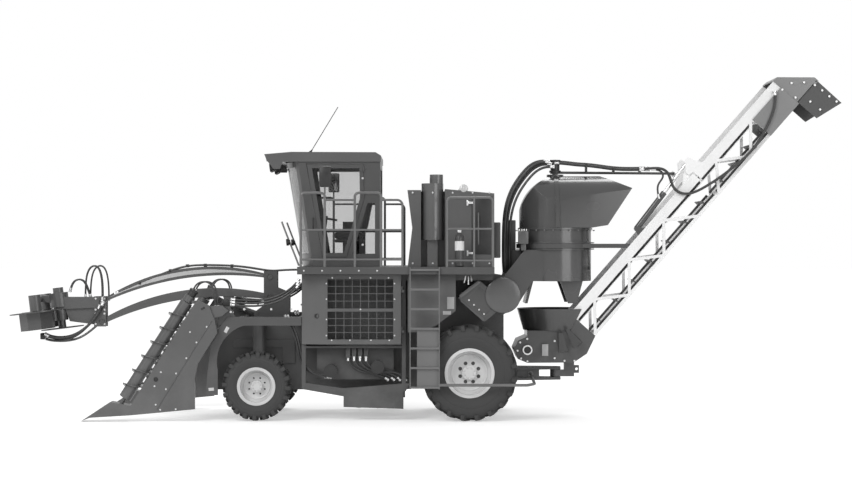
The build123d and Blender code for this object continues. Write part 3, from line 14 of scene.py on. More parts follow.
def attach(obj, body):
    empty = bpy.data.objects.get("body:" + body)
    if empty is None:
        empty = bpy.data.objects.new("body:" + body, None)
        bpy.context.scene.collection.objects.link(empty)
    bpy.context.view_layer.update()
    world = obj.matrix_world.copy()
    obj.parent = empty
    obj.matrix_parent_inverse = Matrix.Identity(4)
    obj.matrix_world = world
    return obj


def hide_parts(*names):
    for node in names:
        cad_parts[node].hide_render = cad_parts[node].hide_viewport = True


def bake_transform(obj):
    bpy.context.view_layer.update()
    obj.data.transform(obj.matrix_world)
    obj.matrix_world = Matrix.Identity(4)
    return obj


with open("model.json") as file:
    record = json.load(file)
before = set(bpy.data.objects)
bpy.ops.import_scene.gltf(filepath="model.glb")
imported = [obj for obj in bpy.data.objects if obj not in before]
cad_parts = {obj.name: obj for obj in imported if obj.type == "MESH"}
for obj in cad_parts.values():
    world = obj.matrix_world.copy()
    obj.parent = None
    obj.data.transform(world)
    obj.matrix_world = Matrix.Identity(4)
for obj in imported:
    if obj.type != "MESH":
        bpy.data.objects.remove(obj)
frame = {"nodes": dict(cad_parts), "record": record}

LOG = logging.getLogger("harvester")
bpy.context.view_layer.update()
Point = tuple[float, float, float]
Flat = tuple[float, float]
Piece = bpy.types.Object
Socket = bpy.types.NodeSocket
POLE = 0.0001  # radius that stands for a point on the axis of a turned piece


class Side(Enum):
    """The machine's two sides, each with the sign of its Y."""

    LEFT = -1
    RIGHT = 1

    @property
    def tag(self) -> str:
        """The side's name as the CAD bodies spell it."""
        return self.name.lower()

    def at(self, x: float, out: float, z: float) -> Vector:
        """A point that lies a distance out from the middle on this side."""
        return Vector((x, self.value * out, z))

    @property
    def outward(self) -> Vector:
        """The direction out from the middle."""
        return Vector((0, self.value, 0))


def grey(tone: float) -> tuple[float, float, float, float]:
    """A neutral colour from its tone on screen, 0 black to 1 white."""
    level = tone**2.2
    return (level, level, level, 1.0)


class NodeBench:
    """A material's node tree with short calls that add and join its nodes."""

    def __init__(self, name: str) -> None:
        """Starts a material that holds one Principled shader.

        Args:
            name: The material's name.
        """
        self.material = bpy.data.materials.new(name)
        self.material.use_nodes = True
        self.tree = self.material.node_tree
        self.shader = self.tree.nodes["Principled BSDF"]
        self.place = self.add("ShaderNodeTexCoord").outputs["Object"]

    def add(self, kind: str, **settings: object) -> bpy.types.Node:
        """Adds a node and sets its properties.

        Args:
            kind: The node's type.
            settings: Its properties.

        Returns:
            The new node.
        """
        node = self.tree.nodes.new(kind)
        for key, value in settings.items():
            setattr(node, key, value)
        return node

    def feed(self, node: bpy.types.Node, **sources: object) -> bpy.types.Node:
        """Links or sets a node's inputs.

        Args:
            node: The node that is fed.
            sources: Input names with underscores for blanks, each with a socket or a value.

        Returns:
            The same node.
        """
        for key, source in sources.items():
            self.put(node.inputs[key.replace("_", " ")], source)
        return node

    def put(self, socket: Socket, source: object) -> None:
        """Links or sets one input.

        Args:
            socket: The input.
            source: A socket that it is linked to, or the value that it is set to.
        """
        if isinstance(source, Socket):
            self.tree.links.new(source, socket)
        else:
            socket.default_value = source

    def noise(self, scale: float, detail: float = 4.0, stretch: Point = (1, 1, 1)) -> Socket:
        """Cloudy noise in the object's own coordinates, stretched along its axes.

        Args:
            scale: How fine the noise is.
            detail: How many finer layers it has.
            stretch: The scale along each axis.

        Returns:
            The noise from 0 to 1.
        """
        mapping = self.feed(self.add("ShaderNodeMapping"), Vector=self.place, Scale=stretch)
        texture = self.add("ShaderNodeTexNoise")
        self.feed(texture, Vector=mapping.outputs[0], Scale=scale, Detail=detail, Roughness=0.6)
        return texture.outputs["Fac"]

    def span(self, source: Socket, low: float, high: float, a: float = 0.0, b: float = 1.0) -> Socket:
        """Maps a value from low to high onto a to b and holds it there.

        Args:
            source: The value.
            low: Where it starts.
            high: Where it ends.
            a: The result at the start.
            b: The result at the end.

        Returns:
            The mapped value.
        """
        node = self.add("ShaderNodeMapRange", clamp=True)
        for socket, value in zip(node.inputs, (source, low, high, a, b)):
            self.put(socket, value)
        return node.outputs[0]

    def maths(self, a: object, b: object, operation: str = "MULTIPLY") -> Socket:
        """One step of arithmetic on two values.

        Args:
            a: The first value or socket.
            b: The second value or socket.
            operation: The step.

        Returns:
            The result.
        """
        node = self.add("ShaderNodeMath", operation=operation)
        for socket, value in zip(node.inputs, (a, b)):
            self.put(socket, value)
        return node.outputs[0]

    def mix(self, share: object, a: object, b: object) -> Socket:
        """A colour between two colours.

        Args:
            share: How much of the second colour shows.
            a: The first colour.
            b: The second colour.

        Returns:
            The mixed colour.
        """
        node = self.add("ShaderNodeMix", data_type="RGBA")
        for index, value in ((0, share), (6, a), (7, b)):
            self.put(node.inputs[index], value)
        return node.outputs[2]

    def bump(
        self, height: Socket, depth: float, strength: float = 0.5, normal: Socket | None = None
    ) -> Socket:
        """Raises the surface by a height in metres.

        Args:
            height: The height from 0 to 1.
            depth: What a height of 1 stands for, in metres.
            strength: How strongly it shows.
            normal: The normal that it works on, if not the plain one.

        Returns:
            The bumped normal.
        """
        node = self.feed(self.add("ShaderNodeBump"), Height=height, Distance=depth, Strength=strength)
        if normal is not None:
            self.tree.links.new(normal, node.inputs["Normal"])
        return node.outputs[0]

    def edges(self, radius: float) -> tuple[Socket, Socket]:
        """Soft edges for plates and bars.

        Args:
            radius: How far from an edge the surface turns, in metres.

        Returns:
            The rounded normal, and a mask that is 1 on sharp edges.
        """
        bevel = self.feed(self.add("ShaderNodeBevel", samples=4), Radius=radius)
        facing = self.add("ShaderNodeVectorMath", operation="DOT_PRODUCT")
        self.tree.links.new(bevel.outputs[0], facing.inputs[0])
        self.tree.links.new(self.add("ShaderNodeNewGeometry").outputs["Normal"], facing.inputs[1])
        return bevel.outputs[0], self.span(facing.outputs["Value"], 0.995, 0.86)

    def height_mask(self, top: float) -> Socket:
        """A mask that is 1 at the ground and 0 above a height, for dust."""
        split = self.feed(self.add("ShaderNodeSeparateXYZ"), Vector=self.place)
        return self.span(split.outputs["Z"], top, 0.0)


@dataclass(frozen=True)
class Finish:
    """A surface finish. Its material is made once and shared."""

    name: str
    slot: str | None = None

    def dress(self, nodes: NodeBench) -> None:
        """Builds the finish's nodes."""
        raise NotImplementedError

    def material(self) -> bpy.types.Material:
        """The finish's material.

        Returns:
            The shared material.
        """
        found = bpy.data.materials.get(self.name)
        if found is None:
            nodes = NodeBench(self.name)
            self.dress(nodes)
            found = nodes.material
        return found


@dataclass(frozen=True)
class Paint(Finish):
    """Sprayed enamel on steel: even colour, faint runs, dust low down and rubbed edges."""

    tone: float = 0.37
    roughness: float = 0.34
    coat: float = 0.35
    dust: float = 0.35
    wear: float = 0.5
    edge: float = 0.006

    def dress(self, nodes: NodeBench) -> None:
        """Builds the enamel's nodes.

        Args:
            nodes: The material's node tree.
        """
        cloud = nodes.noise(0.9, 3)
        grain = nodes.noise(38, 5)
        runs = nodes.noise(5, 3, (1.6, 1.6, 0.12))
        rounded, rim = nodes.edges(self.edge)
        tones = grey(self.tone * 0.95), grey(min(self.tone * 1.05, 0.99))
        colour = nodes.mix(nodes.span(cloud, 0.32, 0.68), *tones)
        shade = nodes.maths(nodes.span(runs, 0.55, 0.78), 0.16)
        colour = nodes.mix(shade, colour, grey(self.tone * 0.82))
        settled = nodes.maths(nodes.height_mask(1.5), nodes.span(nodes.noise(3.2, 6), 0.38, 0.72))
        settled = nodes.maths(settled, self.dust)
        colour = nodes.mix(settled, colour, grey(0.46))
        rubbed = nodes.maths(nodes.maths(rim, nodes.span(grain, 0.48, 0.62)), self.wear)
        colour = nodes.mix(rubbed, colour, grey(min(self.tone + 0.22, 0.92)))
        rough = nodes.span(cloud, 0.25, 0.75, self.roughness - 0.05, self.roughness + 0.07)
        rough = nodes.maths(rough, nodes.maths(settled, 0.4), "ADD")
        peel = nodes.bump(nodes.noise(260, 2), 0.0012, 0.12, rounded)
        nodes.feed(nodes.shader, Base_Color=colour, Roughness=rough, Normal=peel)
        nodes.feed(nodes.shader, Coat_Weight=self.coat, Coat_Roughness=0.12)


@dataclass(frozen=True)
class Striped(Paint):
    """Enamel with one pale stripe, tapered at both ends, along an arc in X and Z."""

    hub: Flat = (0.0, 0.0)
    bend: float = 1.0
    half_width: float = 0.03
    run: Flat = (-1.0, 1.0)
    stripe: float = 0.74
    taper: Flat = (0.7, 0.9)

    def dress(self, nodes: NodeBench) -> None:
        """Builds the enamel's nodes and paints the stripe over them.

        Args:
            nodes: The material's node tree.
        """
        super().dress(nodes)
        split = nodes.feed(nodes.add("ShaderNodeSeparateXYZ"), Vector=nodes.place)
        across = nodes.maths(split.outputs["X"], self.hub[0], "SUBTRACT")
        up = nodes.maths(split.outputs["Z"], self.hub[1], "SUBTRACT")
        square = nodes.maths(nodes.maths(across, across), nodes.maths(up, up), "ADD")
        off = nodes.maths(nodes.maths(square, 0.5, "POWER"), self.bend, "SUBTRACT")
        off = nodes.maths(nodes.maths(off, off), 0.5, "POWER")
        low, high = self.run
        along = split.outputs["X"]
        ends = [nodes.span(along, low, low + self.taper[0]), nodes.span(along, high, high - self.taper[1])]
        width = nodes.maths(*ends)
        inside = nodes.maths(nodes.maths(width, self.half_width), off, "GREATER_THAN")
        under = nodes.shader.inputs["Base Color"].links[0].from_socket
        nodes.feed(nodes.shader, Base_Color=nodes.mix(inside, under, grey(self.stripe)))


@dataclass(frozen=True)
class Rubber(Finish):
    """Tyre rubber with a dusty bloom and a fine moulded texture."""

    tone: float = 0.25
    bloom: float = 0.35

    def dress(self, nodes: NodeBench) -> None:
        """Builds the rubber's nodes.

        Args:
            nodes: The material's node tree.
        """
        rounded, rim = nodes.edges(0.008)
        tones = grey(self.tone * 0.86), grey(self.tone * 1.1)
        colour = nodes.mix(nodes.span(nodes.noise(6, 5), 0.3, 0.7), *tones)
        dust = nodes.maths(nodes.span(nodes.noise(14, 6), 0.42, 0.7), self.bloom)
        colour = nodes.mix(dust, colour, grey(self.tone + 0.13))
        colour = nodes.mix(nodes.maths(rim, 0.35), colour, grey(self.tone + 0.16))
        height = nodes.bump(nodes.noise(120, 4), 0.002, 0.25, rounded)
        rough = nodes.span(dust, 0, 0.4, 0.58, 0.8)
        nodes.feed(nodes.shader, Base_Color=colour, Roughness=rough, Normal=height)


@dataclass(frozen=True)
class WornSteel(Finish):
    """Tool steel that the crop keeps scoured, with darker scale left between."""

    tone: float = 0.36
    metal: float = 0.55
    roughness: float = 0.42

    def dress(self, nodes: NodeBench) -> None:
        """Builds the steel's nodes.

        Args:
            nodes: The material's node tree.
        """
        rounded, rim = nodes.edges(0.004)
        scale = nodes.span(nodes.noise(9, 7), 0.4, 0.66)
        scratch = nodes.span(nodes.noise(30, 3, (1, 14, 14)), 0.5, 0.7)
        colour = nodes.mix(scale, grey(self.tone), grey(self.tone * 0.72))
        colour = nodes.mix(nodes.maths(scratch, 0.25), colour, grey(self.tone + 0.2))
        colour = nodes.mix(nodes.maths(rim, 0.7), colour, grey(self.tone + 0.3))
        rough = nodes.span(scale, 0, 1, self.roughness - 0.1, self.roughness + 0.16)
        height = nodes.bump(scratch, 0.0006, 0.3, rounded)
        nodes.feed(nodes.shader, Base_Color=colour, Roughness=rough, Metallic=self.metal, Normal=height)


@dataclass(frozen=True)
class Bright(Finish):
    """Plated or polished metal: cylinder rods, fittings and bolt heads."""

    tone: float = 0.86
    roughness: float = 0.16

    def dress(self, nodes: NodeBench) -> None:
        """Builds the plating's nodes.

        Args:
            nodes: The material's node tree.
        """
        drawn = nodes.noise(60, 3, (1, 1, 9))
        colour = nodes.mix(nodes.span(drawn, 0.35, 0.7), grey(self.tone), grey(self.tone * 0.88))
        rough = nodes.span(drawn, 0.3, 0.75, self.roughness, self.roughness + 0.14)
        nodes.feed(nodes.shader, Base_Color=colour, Roughness=rough, Metallic=0.85)


@dataclass(frozen=True)
class Moulded(Finish):
    """Grained plastic or hose rubber with a dull sheen."""

    tone: float = 0.22
    roughness: float = 0.5
    grain: float = 220

    def dress(self, nodes: NodeBench) -> None:
        """Builds the plastic's nodes.

        Args:
            nodes: The material's node tree.
        """
        cells = nodes.feed(nodes.add("ShaderNodeTexVoronoi"), Vector=nodes.place, Scale=self.grain)
        tones = grey(self.tone * 0.9), grey(self.tone * 1.12)
        colour = nodes.mix(nodes.span(nodes.noise(7, 4), 0.3, 0.7), *tones)
        rough = nodes.span(nodes.noise(20, 3), 0.3, 0.7, self.roughness - 0.06, self.roughness + 0.1)
        height = nodes.bump(cells.outputs["Distance"], 0.0008, 0.25)
        nodes.feed(nodes.shader, Base_Color=colour, Roughness=rough, Normal=height)


@dataclass(frozen=True)
class Woven(Finish):
    """Seat cloth: two crossing sets of threads with a soft sheen."""

    tone: float = 0.22
    pitch: float = 900

    def dress(self, nodes: NodeBench) -> None:
        """Builds the weave's nodes.

        Args:
            nodes: The material's node tree.
        """
        across = nodes.add("ShaderNodeTexWave", bands_direction="X")
        along = nodes.add("ShaderNodeTexWave", bands_direction="Y")
        for wave in (across, along):
            nodes.feed(wave, Vector=nodes.place, Scale=self.pitch / 20, Distortion=0.4)
        weave = nodes.maths(across.outputs["Fac"], along.outputs["Fac"], "ADD")
        colour = nodes.mix(nodes.span(weave, 0.4, 1.6), grey(self.tone * 0.75), grey(self.tone * 1.2))
        nodes.feed(nodes.shader, Base_Color=colour, Roughness=0.85, Normal=nodes.bump(weave, 0.0012, 0.4))
        nodes.feed(nodes.shader, Sheen_Weight=0.3)


@dataclass(frozen=True)
class Pane(Finish):
    """Lightly tinted window glass that lamps shine through."""

    tint: float = 0.93

    def dress(self, nodes: NodeBench) -> None:
        """Builds the glass out of a clear and a glossy shader.

        Args:
            nodes: The material's node tree.
        """
        smear = nodes.span(nodes.noise(4, 5), 0.45, 0.8, 0.0, 0.012)
        fresnel = nodes.feed(nodes.add("ShaderNodeFresnel"), IOR=1.45)
        share = nodes.maths(nodes.maths(fresnel.outputs[0], 0.8), smear, "ADD")
        clear = nodes.feed(nodes.add("ShaderNodeBsdfTransparent"), Color=grey(self.tint))
        gloss = nodes.feed(nodes.add("ShaderNodeBsdfGlossy"), Roughness=0.04, Color=grey(0.95))
        mixed = nodes.add("ShaderNodeMixShader")
        for index, socket in enumerate((share, clear.outputs[0], gloss.outputs[0])):
            nodes.tree.links.new(socket, mixed.inputs[index])
        output = next(node for node in nodes.tree.nodes if node.type == "OUTPUT_MATERIAL")
        nodes.tree.links.new(mixed.outputs[0], output.inputs["Surface"])
        nodes.tree.nodes.remove(nodes.shader)


@dataclass(frozen=True)
class Lens(Finish):
    """Pressed lamp glass or a reflector: pale, ribbed and shiny."""

    tone: float = 0.85

    def dress(self, nodes: NodeBench) -> None:
        """Builds the lens's nodes.

        Args:
            nodes: The material's node tree.
        """
        ribs = nodes.feed(nodes.add("ShaderNodeTexWave", bands_direction="Z"), Vector=nodes.place, Scale=26.0)
        colour = nodes.mix(nodes.span(ribs.outputs["Fac"], 0.2, 0.9), grey(self.tone * 0.86), grey(self.tone))
        height = nodes.bump(ribs.outputs["Fac"], 0.002, 0.4)
        nodes.feed(nodes.shader, Base_Color=colour, Normal=height, Roughness=0.12, Coat_Weight=0.6)


def arc_through(a: Flat, b: Flat, c: Flat) -> tuple[Flat, float]:
    """The circle through three points.

    Args:
        a: First point.
        b: Second point.
        c: Third point.

    Returns:
        Its middle and its radius.
    """
    (ax, ay), (bx, by), (cx, cy) = a, b, c
    turn = 2 * (ax * (by - cy) + bx * (cy - ay) + cx * (ay - by))
    squares = [x * x + y * y for x, y in (a, b, c)]
    x = (squares[0] * (by - cy) + squares[1] * (cy - ay) + squares[2] * (ay - by)) / turn
    y = (squares[0] * (cx - bx) + squares[1] * (ax - cx) + squares[2] * (bx - ax)) / turn
    return (x, y), math.hypot(ax - x, ay - y)


ARM_HUB, ARM_BEND = arc_through((-2.408, 2.126), (-3.699, 2.182), (-4.995, 1.747))
BODY = Paint("body_enamel", "body_paint", tone=0.335)
# Painted shade: a darker, shaded copy of the body enamel; the parts and fittings that take it get shade painted into
# their colour.
BODY_SHADE = Paint("body_enamel_shaded", "body_paint", tone=0.285)
ARM = Striped("boom_enamel", "body_paint", tone=0.315, hub=ARM_HUB, bend=ARM_BEND, run=(-4.9, -2.5))
HOOD = Paint("hood_enamel", "body_paint", tone=0.28, roughness=0.24, coat=0.7)
FRAME = Paint("frame_enamel", "frame_paint", tone=0.29, roughness=0.45, coat=0.1, dust=0.5)
PALE = Paint("elevator_enamel", "pale_paint", tone=0.985, roughness=0.4, coat=0.2, dust=0.15, wear=0.25)
COVER = Paint("head_cover_enamel", "body_paint", tone=0.5, roughness=0.4)
RAIL = Paint("rail_enamel", "rail_paint", tone=0.4, roughness=0.3, edge=0.003)
PLATE = Paint("blank_plate", None, tone=0.62, roughness=0.4, wear=0.2)
RIM = Paint("wheel_enamel", "wheel_paint", tone=0.80, roughness=0.32, coat=0.4, dust=0.15)
TANK = Moulded("tank_plastic", "tank_plastic", tone=0.26, roughness=0.42)
IRON = Paint("engine_enamel", "engine_iron", tone=0.26, roughness=0.55, coat=0.0)
EXHAUST = Paint("muffler_enamel", "exhaust_steel", tone=0.36, roughness=0.24, coat=0.5)
TOOL = WornSteel("scoured_steel", "tool_steel")
TUBE = Paint("scroll_enamel", "tool_steel", tone=0.34, roughness=0.36, wear=0.9)
CHAIN = WornSteel("chain_steel", "tool_steel", tone=0.26, metal=0.4, roughness=0.5)
CYLINDER = Paint("cylinder_enamel", "cylinder_paint", tone=0.28, roughness=0.3)
CHROME = Bright("rod_chrome", "rod_chrome")
ZINC = Bright("zinc_plate", None, tone=0.93, roughness=0.3)
TYRE = Rubber("tyre_rubber", "tyre_rubber")
HOSE = Moulded("hose_rubber", None, tone=0.24, roughness=0.42, grain=380)
TRIM = Moulded("cab_plastic", "console_plastic", tone=0.2)
CLOTH = Woven("seat_cloth", "seat_fabric")
GLASS = Pane("cab_pane", "glass")
LAMP = Lens("lamp_lens")
BLACK = Moulded("black_fitting", None, tone=0.17, roughness=0.4)

NODE_FINISH: dict[str, Finish] = {
    # Nodes in the shaded copy of the body enamel carry painted shade.
    "chopper_housing": BODY_SHADE,
    "cleaning_chamber": HOOD,
    "extractor_hood": HOOD,
    "bin_flap": FRAME,
    "elevator_head": COVER,
    "side_door_left": BODY,
    "side_door_right": BODY,
    "scroll_left": TUBE,
    "scroll_right": TUBE,
    "slats_lower": CHAIN,
    "slats_upper": CHAIN,
    "gather_left": BODY_SHADE,
    "gather_right": BODY_SHADE,
    "elevator_foot": BODY_SHADE,
    "cab_frame": BODY_SHADE,
    "cab_door": BODY_SHADE,
    "slew_links": FRAME,
    "topper_upper_arm": ARM,
    "front_arches": BODY_SHADE,
    "bay_frame": FRAME,
    "handrails": RAIL,
    "ladder": RAIL,
}
SLOT_FINISHES = (
    FRAME, BODY, PALE, TANK, IRON, EXHAUST, RAIL, GLASS, CLOTH, TRIM, TYRE, RIM, TOOL, CYLINDER, CHROME,
)
SLOT_FINISH: dict[str, Finish] = {finish.slot: finish for finish in SLOT_FINISHES}


class Bench:
    """Modelling steps that the sub-assemblies share."""

    @staticmethod
    def clear() -> None:
        """Leaves nothing selected."""
        bpy.ops.object.select_all(action="DESELECT")

    @staticmethod
    def pick(piece: Piece) -> None:
        """Leaves one piece selected and active.

        Args:
            piece: The piece.
        """
        Bench.clear()
        piece.select_set(True)
        bpy.context.view_layer.objects.active = piece

    @staticmethod
    def edit(select: str = "SELECT") -> None:
        """Opens the active piece for editing with all or none of it selected.

        Args:
            select: What the mesh selection becomes.
        """
        bpy.ops.object.mode_set(mode="EDIT")
        bpy.ops.mesh.select_mode(type="VERT")
        bpy.ops.mesh.select_all(action=select)

    @staticmethod
    def close() -> Piece:
        """Ends editing with the faces turned outwards and returns the piece.

        Returns:
            The piece.
        """
        bpy.ops.mesh.select_all(action="SELECT")
        bpy.ops.mesh.remove_doubles(threshold=0.00005)
        bpy.ops.mesh.normals_make_consistent(inside=False)
        bpy.ops.object.mode_set(mode="OBJECT")
        return bpy.context.object

    @staticmethod
    def modify(piece: Piece, kind: str, **settings: object) -> Piece:
        """Adds a modifier and applies it.

        Args:
            piece: The piece.
            kind: The modifier's type.
            settings: Its properties.

        Returns:
            The same piece.
        """
        Bench.pick(piece)
        modifier = piece.modifiers.new(kind.title(), kind)
        for key, value in settings.items():
            setattr(modifier, key, value)
        bpy.ops.object.modifier_apply(modifier=modifier.name)
        return piece

    @staticmethod
    def soften(piece: Piece, width: float, segments: int = 2) -> Piece:
        """Rounds a piece's sharp edges.

        Args:
            piece: The piece.
            width: How far an edge is rounded, or 0 for not at all.
            segments: How many flats the rounding has.

        Returns:
            The same piece.
        """
        if width <= 0:
            return piece
        limit = {"limit_method": "ANGLE", "angle_limit": 0.6}
        return Bench.modify(piece, "BEVEL", width=width, segments=segments, **limit)

    @staticmethod
    def block(low: Sequence[float], high: Sequence[float], soft: float = 0.004) -> Piece:
        """A box between two corners, its edges rounded.

        Args:
            low: One corner.
            high: The opposite corner.
            soft: How far its edges are rounded.

        Returns:
            The box.
        """
        a, b = Vector(low), Vector(high)
        Bench.clear()
        bpy.ops.mesh.primitive_cube_add(size=1, location=(a + b) / 2)
        piece = bpy.context.object
        piece.scale = (abs(b.x - a.x), abs(b.y - a.y), abs(b.z - a.z))
        bpy.ops.object.transform_apply(location=True, rotation=True, scale=True)
        return Bench.soften(piece, soft)

    @staticmethod
    def prism(outline: Sequence[Sequence[float]], depth: Sequence[float], soft: float = 0.003) -> Piece:
        """A plate: a flat outline in space, drawn out by a vector.

        Args:
            outline: The corners in order.
            depth: The vector from one face to the other.
            soft: How far its edges are rounded.

        Returns:
            The plate.
        """
        Bench.clear()
        bpy.ops.mesh.primitive_circle_add(vertices=len(outline), fill_type="NGON")
        piece = bpy.context.object
        for vertex, corner in zip(piece.data.vertices, outline):
            vertex.co = corner
        Bench.edit()
        bpy.ops.mesh.extrude_region_move(TRANSFORM_OT_translate={"value": tuple(depth)})
        return Bench.soften(Bench.close(), soft)

    @staticmethod
    def turned(
        profile: Sequence[Flat], centre: Sequence[float], axis: Sequence[float], steps: int = 48
    ) -> Piece:
        """A turned piece.

        Args:
            profile: Closed outline as (distance along the axis, radius) points.
            centre: The point on the axis that distances start from.
            axis: The axis.
            steps: How many flats go round.

        Returns:
            The piece.
        """
        along = Vector(axis).normalized()
        across = along.orthogonal().normalized()
        Bench.clear()
        bpy.ops.mesh.primitive_circle_add(vertices=len(profile), fill_type="NOTHING")
        piece = bpy.context.object
        for vertex, (distance, radius) in zip(piece.data.vertices, profile):
            vertex.co = Vector(centre) + along * distance + across * radius
        Bench.edit()
        bpy.ops.mesh.spin(steps=steps, angle=2 * math.pi, center=tuple(centre), axis=tuple(along))
        return Bench.close()

    @staticmethod
    def solid(
        profile: Sequence[Flat], centre: Sequence[float], axis: Sequence[float], steps: int, tip: float | None = None
    ) -> Piece:
        """A turned piece that is closed on its axis at both ends.

        Args:
            profile: The outline between the two ends as (distance along the axis, radius) points.
            centre: The point on the axis that distances start from.
            axis: The axis.
            steps: How many flats go round.
            tip: Where the far end meets the axis, if it is crowned.

        Returns:
            The piece.
        """
        far = profile[-1][0] if tip is None else tip
        return Bench.turned([(profile[0][0], POLE), *profile, (far, POLE)], centre, axis, steps)

    @staticmethod
    def bar(start: Sequence[float], end: Sequence[float], radius: float, sides: int = 16) -> Piece:
        """A round bar between two points with chamfered ends.

        Args:
            start: One end.
            end: The other end.
            radius: Its radius.
            sides: How many flats go round.

        Returns:
            The bar.
        """
        run = Vector(end) - Vector(start)
        chamfer = min(radius * 0.25, 0.004)
        profile = [(0, radius - chamfer), (chamfer, radius)]
        profile += [(run.length - chamfer, radius), (run.length, radius - chamfer)]
        return Bench.solid(profile, start, run, sides)

    @staticmethod
    def hose(points: Sequence[Sequence[float]], radius: float) -> Piece:
        """A round hose on one smooth line through a route.

        Args:
            points: The route.
            radius: The hose's radius.

        Returns:
            The hose.
        """
        Bench.clear()
        bpy.ops.curve.primitive_nurbs_path_add()
        piece = bpy.context.object
        piece.matrix_world = Matrix.Identity(4)
        curve = piece.data
        curve.splines.clear()
        spline = curve.splines.new("NURBS")
        spline.points.add(len(points) - 1)
        for knot, point in zip(spline.points, points):
            knot.co = (*point, 1)
        spline.order_u = 4
        spline.use_endpoint_u = True
        spline.resolution_u = 8
        curve.bevel_depth = radius
        curve.bevel_resolution = 3
        curve.use_fill_caps = True
        bpy.ops.object.convert(target="MESH")
        return bpy.context.object

    @staticmethod
    def join(pieces: Iterable[Piece]) -> Piece:
        """Joins pieces into the first of them.

        Args:
            pieces: The pieces.

        Returns:
            The joined piece.
        """
        parts = list(pieces)
        Bench.clear()
        for part in parts:
            part.select_set(True)
        bpy.context.view_layer.objects.active = parts[0]
        if len(parts) > 1:
            bpy.ops.object.join()
        return parts[0]

    @staticmethod
    def spread(seed: Piece, places: Iterable[Matrix]) -> Piece:
        """Copies a seed piece to each place and joins the copies.

        Args:
            seed: The piece that is copied, made about the origin.
            places: Where the copies go.

        Returns:
            The joined copies.
        """
        copies = []
        for place in places:
            twin = seed.copy()
            twin.data = seed.data.copy()
            twin.data.transform(place)
            bpy.context.collection.objects.link(twin)
            copies.append(twin)
        bpy.data.objects.remove(seed)
        return Bench.join(copies)

    @staticmethod
    def bolts(spots: Iterable[Sequence[float]], facing: Sequence[float], radius: float = 0.014) -> Piece:
        """Hexagon bolt heads on a washer, at spots on a face.

        Args:
            spots: Where the bolts sit.
            facing: The way that they point.
            radius: The head's radius.

        Returns:
            The bolts as one piece.
        """
        thick, rise = 0.003, radius * 0.8
        washer = Bench.solid([(0, radius * 1.4), (thick, radius * 1.4)], (0, 0, 0), (0, 0, 1), 14)
        Bench.clear()
        place = (0, 0, thick + rise / 2)
        bpy.ops.mesh.primitive_cylinder_add(vertices=6, radius=radius, depth=rise, location=place)
        bpy.ops.object.transform_apply(location=True, rotation=True, scale=True)
        head = Bench.soften(bpy.context.object, radius * 0.12, 1)
        turn = Vector(facing).to_track_quat("Z", "Y").to_matrix().to_4x4()
        places = [Matrix.Translation(spot) @ turn for spot in spots]
        return Bench.spread(Bench.join([washer, head]), places)

    @staticmethod
    def mount(
        piece: Piece, name: str, body: str, finish: Finish, across: tuple[str, Point, Point] | None = None
    ) -> Piece:
        """Names a piece, gives it its finish and lets it ride on a body, or leaves it baked in place when across is
        given.

        Args:
            piece: The finished mesh.
            name: Its name.
            body: The CAD body that carries it.
            finish: Its finish.
            across: For a piece that would bend at a joint: when given, the piece is baked in place and rides on no
                body; the other body and the bend's ends in it are not used.

        Returns:
            The same piece.
        """
        piece.name = piece.data.name = name
        piece.data.materials.clear()
        piece.data.materials.append(finish.material())
        Bench.pick(piece)
        bpy.ops.object.shade_smooth_by_angle(angle=math.radians(35))
        if across:
            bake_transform(piece)
        else:
            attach(piece, body)
        LOG.info("%s rides on %s in %s", name, body, finish.name)
        return piece


